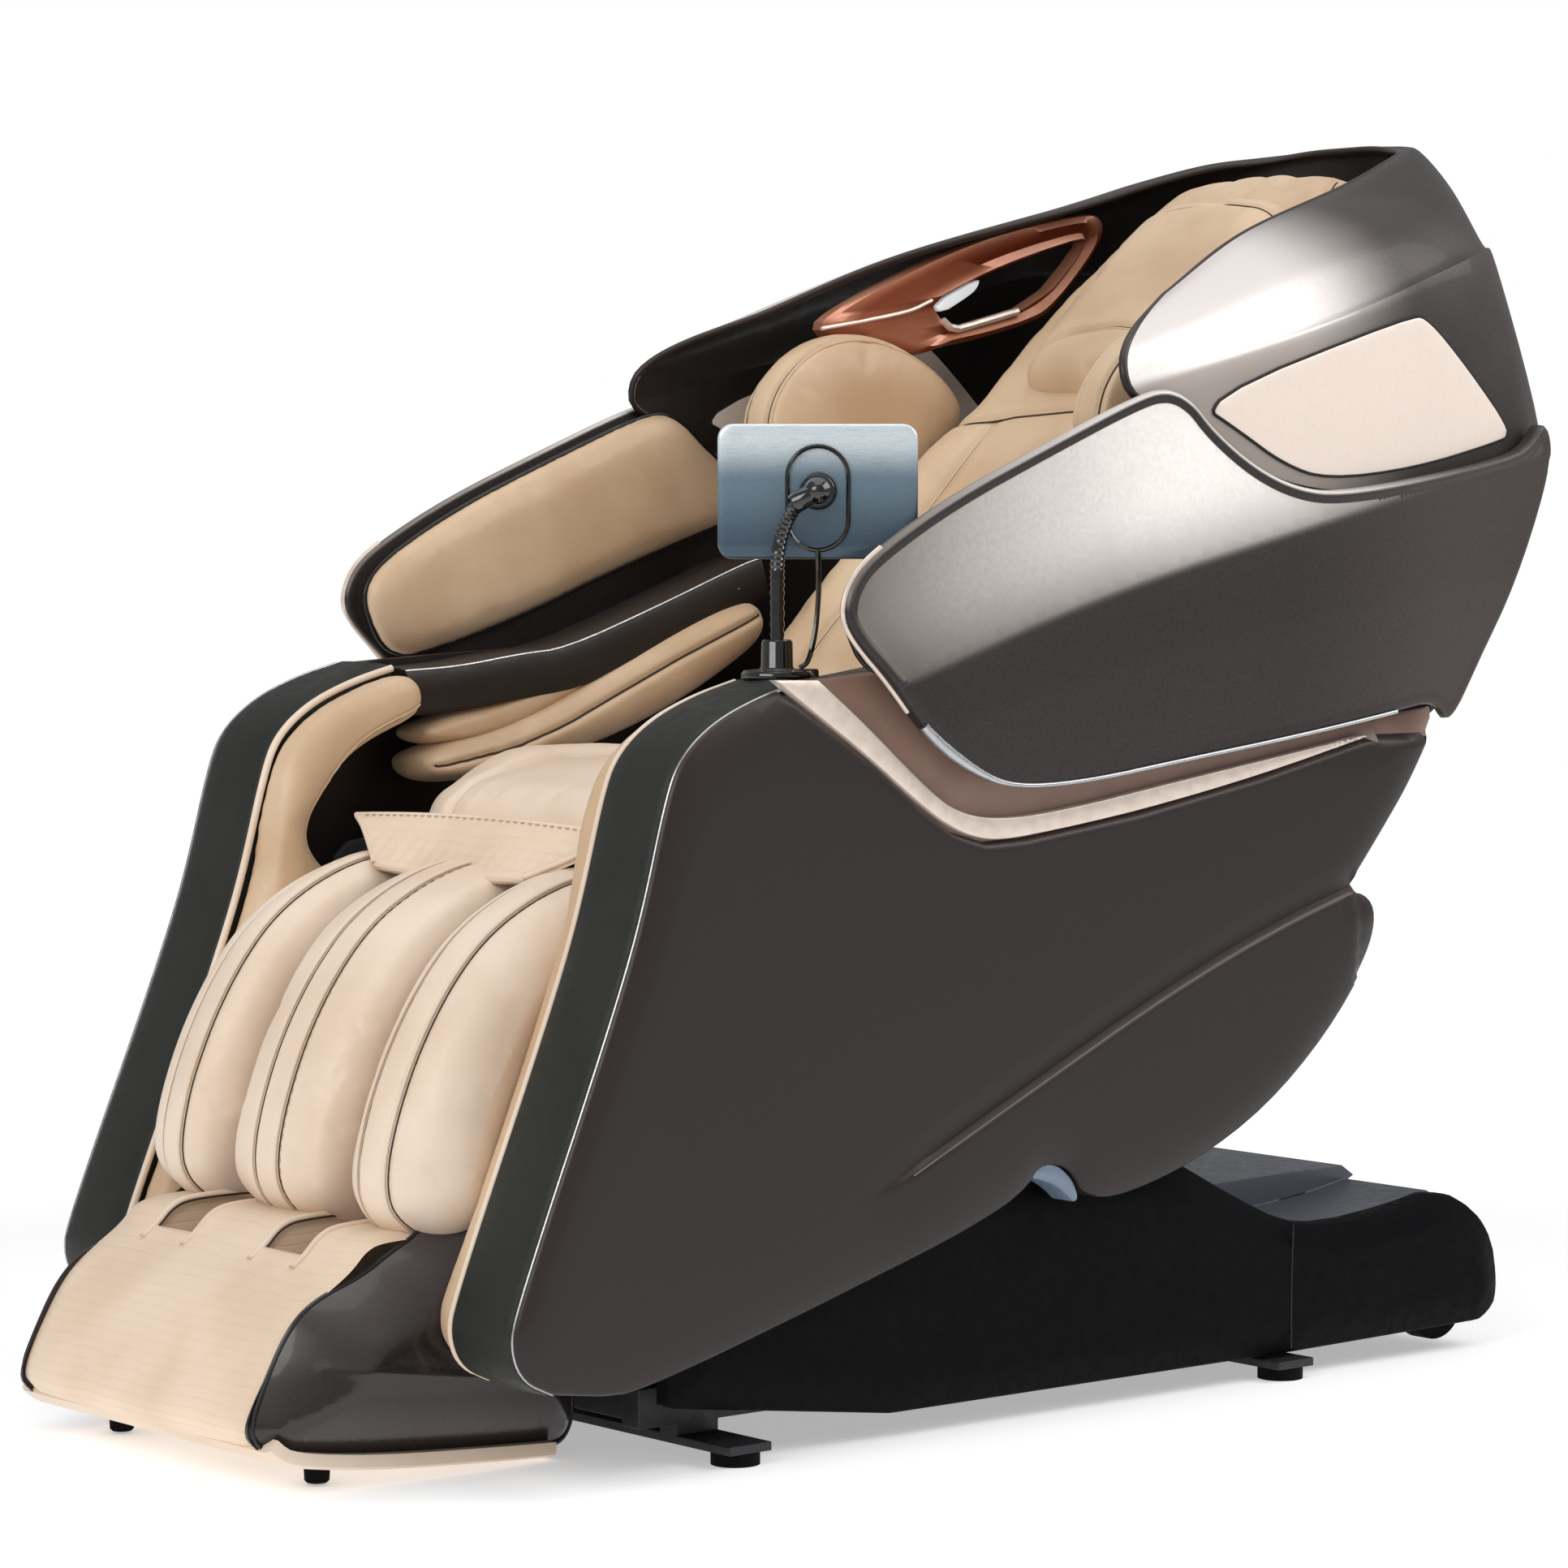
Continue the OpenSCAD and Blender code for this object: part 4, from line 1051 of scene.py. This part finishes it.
v, f, foot_line = foot_front()
foot = [(v, flipped(f), QUILT)]
rim_path = [(y, z) for y, z in foot_line if -690 < y < -556]
for c in WELLS:
    for e in (-WELL_HALF - 2, WELL_HALF + 2):
        x = c + e
        path = at_x(rim_path, x) + [0, 0, 1.6]
        foot.append((*tube(path, 3.6, 10), SKIN))
        foot.append((*tube(path + [3.6 if e < 0 else -3.6, 0, -1.4], 1.1, 6), THREAD))
piece("foot_cover", foot, "footrest", ["foot_unit"], 0)
FOOT_SHELL = soft([
    (-606, 213), (-634, 200), (-662, 183), (-712, 167), (-740, 144), (-764, 100), (-780, 67), (-780, 52),
    (-760, 36), (-735, 27), (-634, 17), (-464, 6), (-440, 12), (-431, 36), (-440, 120), (-455, 250),
    (-470, 318), (-498, 330), (-543, 277), (-574, 240)], 6)
FOOT_CREASE = rounded([(-742, 120), (-734, 114), (-650, 101), (-565, 88), (-450, 74)], 1)


def shell_face(p, d):
    under = below(p, FOOT_CREASE)
    belly = 49 * (1 - (1 - np.minimum(d / 64, 1)) ** 1.45)
    return 185 + belly - 4 * step01(under / 60) + 1.6 * np.exp(-(under / 5) ** 2) * (d > 30)


for word, side in SIDES:
    shell = closed_body(FOOT_SHELL, 184, shell_face, 8, rings=(0.6, 1.8, 4, 8, 14, 22), lines=(FOOT_CREASE,))
    edge = resample(FOOT_SHELL, 20)
    gap = chaikin(edge - 2.2 * leftward(edge, True) * turned(edge), 2)
    gap = tube(at_x(resample(gap, 5), side * FOOT_HALF), 2.0, 8, closed=True)
    piece("foot_shell_" + word, [(*beside(shell, side), SHELL), (*gap, BLACK)], "footrest", (),
          50)
sole_line = spaced(rounded([(-768, 44), (-752, 30), (-700, 21), (-634, 14), (-540, 8), (-466, 4)]), 9)
sole = sweep(sole_line, [(-196, -2), (196, -2), (202, 1), (203, 6), (202, 12), (-202, 12), (-203, 6),
                         (-202, 1)])
piece("foot_sole", [(*sole, SKIN)], "footrest", (), 40)
FOOT_PAD = [(0, 0), (9, 0), (11, 2), (12, 22), (9, 26), (0, 26)]
piece("foot_pads", [(*revolve(FOOT_PAD, (x, -690, 2), (0, 0, 1), 28), RUBBER) for x in (-157, 157)],
      "footrest")
WELL_FLOOR = [(-676, 174), (-660, 158), (-600, 150), (-556, 154)]
WELL_SECTION = np.array([(-WELL_HALF - 3, 0), (WELL_HALF + 3, 0), (WELL_HALF + 3, 4), (-WELL_HALF - 3, 4)])
# Well floors in the darker copy of the leather: painted shade in the recesses.
piece("foot_well_floors", [(*sweep(WELL_FLOOR, WELL_SECTION + [c, 0]), WELL) for c in WELLS],
      "footrest")


# ---- side linings and arm pads ----
LINING_LOOP = resample(chaikin([
    (-300, 683), (-322, 683), (-362, 671), (-408, 650), (-440, 622), (-456, 588), (-479, 502), (-500, 441),
    (-542, 339), (-577, 258), (-613, 172), (-622, 142), (-611, 114), (-580, 100), (-530, 102), (-470, 118),
    (-430, 160), (-400, 300), (-370, 420), (-375, 470), (-400, 494), (-420, 512), (-428, 530), (-421, 552),
    (-401, 582), (-379, 608), (-351, 626), (-299, 646), (-290, 660)], 2), 8)
LINING_SEAM = rounded([
    (-296, 650), (-351, 630), (-379, 612), (-401, 586), (-421, 556), (-428, 532), (-418, 512), (-398, 494)])
pads("side_lining_pad_", LINING_LOOP, (domed_face(238, 30, -9), 264), 9, (2, 5, 10), 3, 3, 5.5, 5,
     "seat", ["side_lining_"],
     seams=((LINING_SEAM, 238, {"depth": 2.5, "width": 3.5, "cord": 0.9, "pipe": 1.4}),))

LOW_PAD = soft([
    (-282, 606), (-282, 588), (-258, 578), (-166, 588), (-50, 616), (30, 645), (111, 687), (148, 714),
    (142, 748), (111, 745), (30, 709), (-50, 670), (-127, 634), (-204, 612)], 7)
HIGH_PAD = soft([
    (-278, 632), (-276, 616), (-204, 618), (-127, 640), (-50, 676), (30, 716), (111, 751), (134, 760),
    (134, 770), (117, 766), (37, 735), (-43, 699), (-121, 663), (-200, 641)], 7)
LOW_SEAM = [(-280, 588), (-240, 596), (-170, 609), (-110, 630), (-54, 655), (26, 690), (107, 722), (140, 736)]
pads("arm_pad_low_", LOW_PAD, (domed_face(258, 24, -22), 314), 8, (2, 5, 10), 6, 4, 5.0, 6,
     "seat", ["arm_pads_"], seams=((LOW_SEAM, 240, {"depth": 3.2, "width": 4, "cord": 1.2}),))
pads("arm_pad_high_", HIGH_PAD, (domed_face(262, 12, -8), 314), 8, (2, 5), 5, 4, 4.5, 4, "seat")


# ---- wing pads ----
WING_PAD = soft([
    (-272, 742), (-270, 768), (-240, 796), (-157, 842), (-42, 890), (59, 930), (100, 941), (126, 932),
    (160, 902), (212, 866), (230, 846), (178, 824), (44, 780), (-81, 732), (-190, 700), (-245, 694)], 7)
pads("wing_pad_", WING_PAD, (domed_face(358, 34, -9), 375), 9, (2, 5, 10), 4, 3, 5.0, 3,
     "backrest", ["wing_pads"], trim=366)


# ---- seat ----
def seat_height(p, d):
    x, y = np.abs(p[:, 0]), p[:, 1]
    side_pad = 9 * step01((x - 146) / 24) * step01((y + 310) / 90)
    return 545 + dome(d, 38, 26) + 24 * step01((y + 345) / 150) + side_pad


SEAT = soft([
    (-226, -292), (-196, -330), (-120, -346), (120, -346), (196, -330), (226, -292), (228, -220),
    (226, -104), (202, -98), (196, -26), (-196, -26), (-202, -98), (-226, -104), (-228, -220)], 9)
seat = closed_body(SEAT, 521, seat_height, 11, rings=(2, 6, 12), band=5, crown=4)
cushion = Cushion(seat, SKIN, voxel=6.0, swell=8)
for x in (-146, 146):
    cushion.seam([(x, -346, 545), (x, -336, 566), (x, -300, 586), (x, -216, 597), (x, -110, 600),
                  (x, -40, 590)], depth=8, width=7, cord=1.4, pipe=1.8)
cushion.seam([(-145, -190, 598), (0, -194, 602), (145, -190, 598)], depth=4, width=6, cord=1.0)
cushion.finish("seat_pad", "seat", stands=["seat_cushion"])


APRON_LINE = [
    (-336, 524, 200), (-352, 526, 202), (-372, 539, 206), (-386, 549, 210), (-392, 550, 208),
    (-402, 542, 184), (-418, 526, 150), (-436, 511, 116)]


def flap():
    """Quilted apron: from under the seat pad up to a stitched ridge, and down to the calf rolls."""
    rows, columns = [], 85
    line = through(APRON_LINE, 46)
    for y, z, half in line:
        slope = step01((-y - 392) / 20)
        for w in np.linspace(-1, 1, columns):
            x = w * half
            edge = step01((1 - abs(w)) / 0.08) * step01((y + 434) / 10)
            quilt = 2.0 * math.sin((x + y) / 6) * math.sin((x - y) / 6) * slope * edge
            rows.append((x, y, z + 6 * (1 - w * w) * (1 - slope) - 5 * (1 - w * w) * slope + quilt))
    top = np.array(rows)
    n = len(top)
    f = grid_faces(len(line), columns, loop_cols=False)
    under = top - [0, -2.0, 6]
    c, r = columns, len(line)
    faces = f + [tuple(i + n for i in reversed(q)) for q in f] + grid_walls(r, c, n)
    ridge = int(np.argmin(np.abs(line[:, 0] + 390)))
    sides = [top[[i * c + k for i in range(ridge, r)]] for k in (0, c - 1)]
    body = np.vstack([top, under])
    parts = [(body, outward(body, faces), QUILT)]
    for path in (top[ridge * c:(ridge + 1) * c], sides[0], sides[1]):
        parts.append((*tube(spaced(path, 6) - [0, 0, 0.4], 2.4, 8), SKIN))
    hem = top[(ridge + 3) * c + 3:(ridge + 4) * c - 3]
    return parts + stitches(hem + [0, -0.6, 0.9], 0.6, 2.8)


apron = piece("seat_apron", flap(), None, (), 0)
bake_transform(apron)


# ---- backrest ----
def mirrored(right):
    return right + [(-x, y) for x, y in reversed(right)]


BACK = soft(mirrored([(204, 116), (208, 300), (206, 700), (190, 820), (156, 940), (120, 1006)]), 10)


def back_height(p, d):
    x, s = np.abs(p[:, 0]), p[:, 1]
    side_pad = 14 * step01((x - 118) / 40) * step01((660 - s) / 120)
    lumbar = 8 * np.exp(-((s - 330) / 120) ** 2)
    return 86 + dome(d, 44, 28) + side_pad + lumbar


back = closed_body(BACK, 52, back_height, 12, rings=(2, 6, 12, 20), band=6, crown=5)
back = (on_back(back[0]), back[1])
# The back cushion wears the shaded copy of the leather: painted shade.
cushion = Cushion(back, SKIN_SHADED, voxel=6.0, swell=9)


def back_path(points):
    return on_back(np.array(points, float))


for side in (-1, 1):
    for path, options in (
            ([(128, 130, 130), (122, 300, 138), (118, 470, 134), (122, 610, 130)],
             {"depth": 5, "width": 6, "cord": 1.1, "pipe": 1.6}),
            ([(172, 700, 118), (160, 800, 116), (134, 900, 114), (104, 985, 110)],
             {"depth": 4, "width": 5, "cord": 1.0}),
            ([(196, 180, 110), (198, 420, 112), (194, 640, 112)], {"depth": 3, "width": 4, "cord": 0.9})):
        cushion.seam(back_path(path) * [side, 1, 1], **options)
cushion.seam(back_path([(-190, 600, 120), (-100, 622, 126), (0, 630, 128), (100, 622, 126), (190, 600, 120)]),
             depth=5, width=6, cord=1.1)
cushion.seam(back_path([(-118, 392, 140), (0, 400, 142), (118, 392, 140)]), depth=3.5, width=5, cord=0.9)
cushion.finish("back_pad", "backrest", stands=["back_cushion"])

PILLOW = soft(mirrored([(112, 646), (124, 700), (122, 800), (108, 890), (84, 930)]), 8)
pillow = closed_body(PILLOW, 112, domed_face(122, 46, 24), 10, rings=(2, 6, 12), band=3, crown=3)
# The head pillow wears the shaded copy of the leather: painted shade.
pillow = Cushion((on_back(pillow[0]), pillow[1]), SKIN_SHADED, voxel=5.0, swell=7)
pillow.seam(back_path([(-112, 690, 140), (-60, 712, 150), (0, 720, 152), (60, 712, 150), (112, 690, 140)]),
            depth=4, width=5, cord=1.0, pipe=1.5)
pillow.seam(back_path([(-96, 892, 136), (0, 904, 144), (96, 892, 136)]), depth=3, width=4, cord=0.9)
pillow.finish("head_pillow_pad", "backrest", stands=["head_pillow"])

SHOULDER = soft([
    (128, 912), (138, 958), (180, 1000), (236, 1018), (300, 1012), (360, 984), (398, 948), (388, 920),
    (362, 892), (330, 856), (230, 850), (160, 876)], 8)
pads("shoulder_pad_", SHOULDER, (domed_face(228, 40, -16), 272), 9, (2, 6, 12, 20), 6, 6, 5.0, 7,
     "backrest", ["shoulder_pads"],
     seams=((SHOULDER, 229, {"closed": True, **SEAM}),
            (SHOULDER, 262, {"closed": True, "depth": 3, "width": 4, "cord": 0.9})))


TAIL_INSERT = soft([
    (-52, 232), (-40, 244), (-15, 243), (6, 228), (15, 209), (10, 203), (-2, 214), (-18, 224), (-38, 230)
], 3)
parts = []
for side in (1, -1):
    crescent = closed_body(TAIL_INSERT, 336, domed_face(362, 7, 4), 5, rings=(1, 2.5))
    parts.append((*beside(crescent, side), BLUE))
piece("tail_insert_crescents", parts, "seat", ["tail_inserts"], 60)


# ---- base covers ----
COVER = resample(cad_outline("base_cover_left"), 9)
for word, side in SIDES:
    cover = closed_body(COVER, 303, lambda p, d: 328 - 9 * (1 - np.minimum(d, 26) / 26) - round_drop(d, 2),
                        10, rings=(1, 2.5, 13, 26))
    seam = tube(at_x([(330, 30), (330, 90), (332, 150)], side * 327.6), 1.0, 6)
    piece("base_side_" + word, [(*beside(cover, side), BASE), (*seam, BLACK)], "base",
          ["base_cover_" + word], 40)


# ---- tablet ----
STAND = np.array(tuple(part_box("tablet_base")[0])) / MM
STAND_TOP = np.array(tuple(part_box("tablet_base")[1])) / MM
FOOT = np.array([(STAND[0] + STAND_TOP[0]) / 2, (STAND[1] + STAND_TOP[1]) / 2, STAND[2]])
TURN = math.radians(50.3)
NECK_REACH, BALL_Z, TAB_W, TAB_H = 36.0, 166.0, 178.0, 120.0


def at_stand(v):
    c, s = math.cos(TURN), math.sin(TURN)
    return np.column_stack([v[:, 0] * c - v[:, 1] * s, v[:, 0] * s + v[:, 1] * c, v[:, 2]]) + FOOT


def rounded_box(w, h, r):
    pts = []
    for cx, cz, a0 in ((w / 2 - r, h / 2 - r, 0), (-w / 2 + r, h / 2 - r, 90), (-w / 2 + r, -h / 2 + r, 180),
                       (w / 2 - r, -h / 2 + r, 270)):
        pts += [(cx + r * math.cos(math.radians(a0 + k * 11.25)),
                 cz + r * math.sin(math.radians(a0 + k * 11.25))) for k in range(9)]
    return np.array(pts)


def as_tablet(shape):
    """Turns (across, up, depth) into chair coordinates; depth grows away from the sitter's view."""
    v, f = shape
    v = np.column_stack([v[:, 0] + NECK_REACH, v[:, 2], v[:, 1] + BALL_Z])
    v = at_stand(v)
    return v, outward(v, f)


slab = closed_body(resample(rounded_box(TAB_W, TAB_H, 13), 4), lambda p, d: 20 + round_drop(d, 3.4),
                   flat_face(28.2, 1), 8, rings=(0.6, 1.6, 3.4))
screen = closed_body(resample(rounded_box(TAB_W - 5, TAB_H - 5, 11), 4), 28,
                     flat_face(29, 0.6), 10, rings=(0.6,))
oval = rounded_box(54, 92, 27)
ring_path = np.column_stack([oval[:, 0] + NECK_REACH, np.full(len(oval), 18.6), oval[:, 1] + BALL_Z - 6])
ring_shape = tube(at_stand(ring_path), 2.1, 8, closed=True)
socket_axis = at_stand(np.array([[NECK_REACH, 20.0, BALL_Z], [NECK_REACH, 0.0, BALL_Z]]))
socket = revolve([(0, 0), (17, 0), (17.5, 2), (16, 8), (14.5, 9.5), (0, 9.5)], socket_axis[0],
                 socket_axis[1] - socket_axis[0], 40)
piece("tablet_slab", [(*as_tablet(slab), TABLET), (*as_tablet(screen), GLASS), (*ring_shape, GLOSS),
                      (*socket, GLOSS)], "tablet", ["tablet"], 40)
neck = through([(0, 0, 5), (0, 0, 30), (0, 0, 80), (1, 0, 112), (9, 0, 140), (22, -1, 158), (36, 0, 166)], 70)
neck_r = 6.2 + 0.5 * np.cos(np.arange(70) * math.pi)
parts = [(*tube(at_stand(neck), neck_r, 14), GLOSS)]
ball = [(12.5 * math.sin(a) * (1 + 0.05 * math.cos(9 * a)), -12.5 * math.cos(a))
        for a in np.linspace(0, math.pi, 26)]
parts.append((*revolve([(max(r, 0.0), h) for r, h in ball], socket_axis[1], socket_axis[1] - socket_axis[0],
                       36), GLOSS))
collar = [(0, -12), (8.5, -12), (9.5, -10), (9.5, 10), (8.5, 12), (0, 12)]
parts.append((*revolve(collar, at_stand(np.array([[24.0, -0.5, 160.0]]))[0],
                       (math.cos(TURN), math.sin(TURN), 0.6), 30), GLOSS))
cable = through([(36, 17, 114), (37, 18, 92), (36, 16, 66), (33, 13, 38), (27, 10, 16), (20, 8, 10)], 40)
parts.append((*tube(at_stand(cable), 2.4, 8), GLOSS))
piece("tablet_neck_tube", parts, "tablet_neck", ["gooseneck"], 40)
parts = [(*revolve([(0, 0), (31, 0), (32, 1.5), (32, 5), (30, 7.5), (16, 9), (14.5, 11), (14, 33), (12.5, 35),
                    (8.6, 35), (8.6, 30), (0, 30)], FOOT, (0, 0, 1), 64), GLOSS)]
clip = closed_body(resample(rounded_box(30, 22, 5), 3), 0, flat_face(9, 2), 6, rings=(1, 2))
v = at_stand(np.column_stack([clip[0][:, 0] + 22, clip[0][:, 1] + 14, clip[0][:, 2]]))
parts.append((v, outward(v, clip[1]), GLOSS))
piece("tablet_foot", parts, "seat", ["tablet_base"], 40)


# ---- studio ----
def studio():
    """Pale floor that fades into a white surround, soft lights and the camera."""
    SCENE.view_settings.view_transform = "Standard"
    world = bpy.data.worlds.new("studio")
    SCENE.world = world
    world.use_nodes = True
    tree = world.node_tree
    tree.nodes.clear()
    out, mix, seen = (tree.nodes.new("ShaderNode" + kind) for kind in ("OutputWorld", "MixShader", "LightPath"))
    for socket, tone, strength in ((1, (0.94, 0.95, 0.97, 1), 0.38), (2, (1, 1, 1, 1), 1.0)):
        shade = tree.nodes.new("ShaderNodeBackground")
        shade.inputs[0].default_value, shade.inputs[1].default_value = tone, strength
        tree.links.new(shade.outputs[0], mix.inputs[socket])
    tree.links.new(seen.outputs["Is Camera Ray"], mix.inputs[0])
    tree.links.new(mix.outputs[0], out.inputs[0])

    me = bpy.data.meshes.new("floor")
    me.from_pydata([(-9, -9, 0), (9, -9, 0), (9, 9, 0), (-9, 9, 0)], [], [(0, 1, 2, 3)])
    m = Finish("floor", 0.9)
    m.set("Specular IOR Level", 0.1)
    far = m.node("VectorMath", {0: m.place}, operation="LENGTH")
    fade = m.spread(far.outputs["Value"], 0.9, 2.2)
    m.set("Base Color", m.mix((0.88, 0.88, 0.88, 1), (0, 0, 0, 1), fade))
    m.set("Emission Color", (1, 1, 1, 1))
    m.set("Emission Strength", m.spread(fade, 0, 1, 0.4, 1))
    me.materials.append(m.material)
    add("floor", me)

    for name, at, to, size, power in (("key", (1.9, 1.9, 2.6), (0.1, 0, 0.7), (2.6, 1.8), 46),
                                      ("front", (0.9, -3.4, 2.4), (0, -0.2, 0.5), (2.6, 1.8), 60),
                                      ("top", (0, 0, 3.4), (0, 0, 0), (3, 3), 34)):
        light = bpy.data.lights.new(name, "AREA")
        light.shape = "RECTANGLE"
        light.size, light.size_y = size
        light.energy = power
        o = add(name, light)
        o.location = at
        o.rotation_euler = (Vector(to) - Vector(at)).to_track_quat("-Z", "Y").to_euler()

    camera = bpy.data.cameras.new("camera")
    camera.sensor_width, camera.lens = 36, 113.9
    o = add("camera", camera)
    o.location = (3.679, -3.090, 0.84)
    azimuth, pitch = math.radians(50.3), math.radians(3.164)
    ahead = Vector((-math.sin(azimuth) * math.cos(pitch), math.cos(azimuth) * math.cos(pitch),
                    -math.sin(pitch)))
    o.rotation_euler = ahead.to_track_quat("-Z", "Y").to_euler()
    SCENE.camera = o


studio()
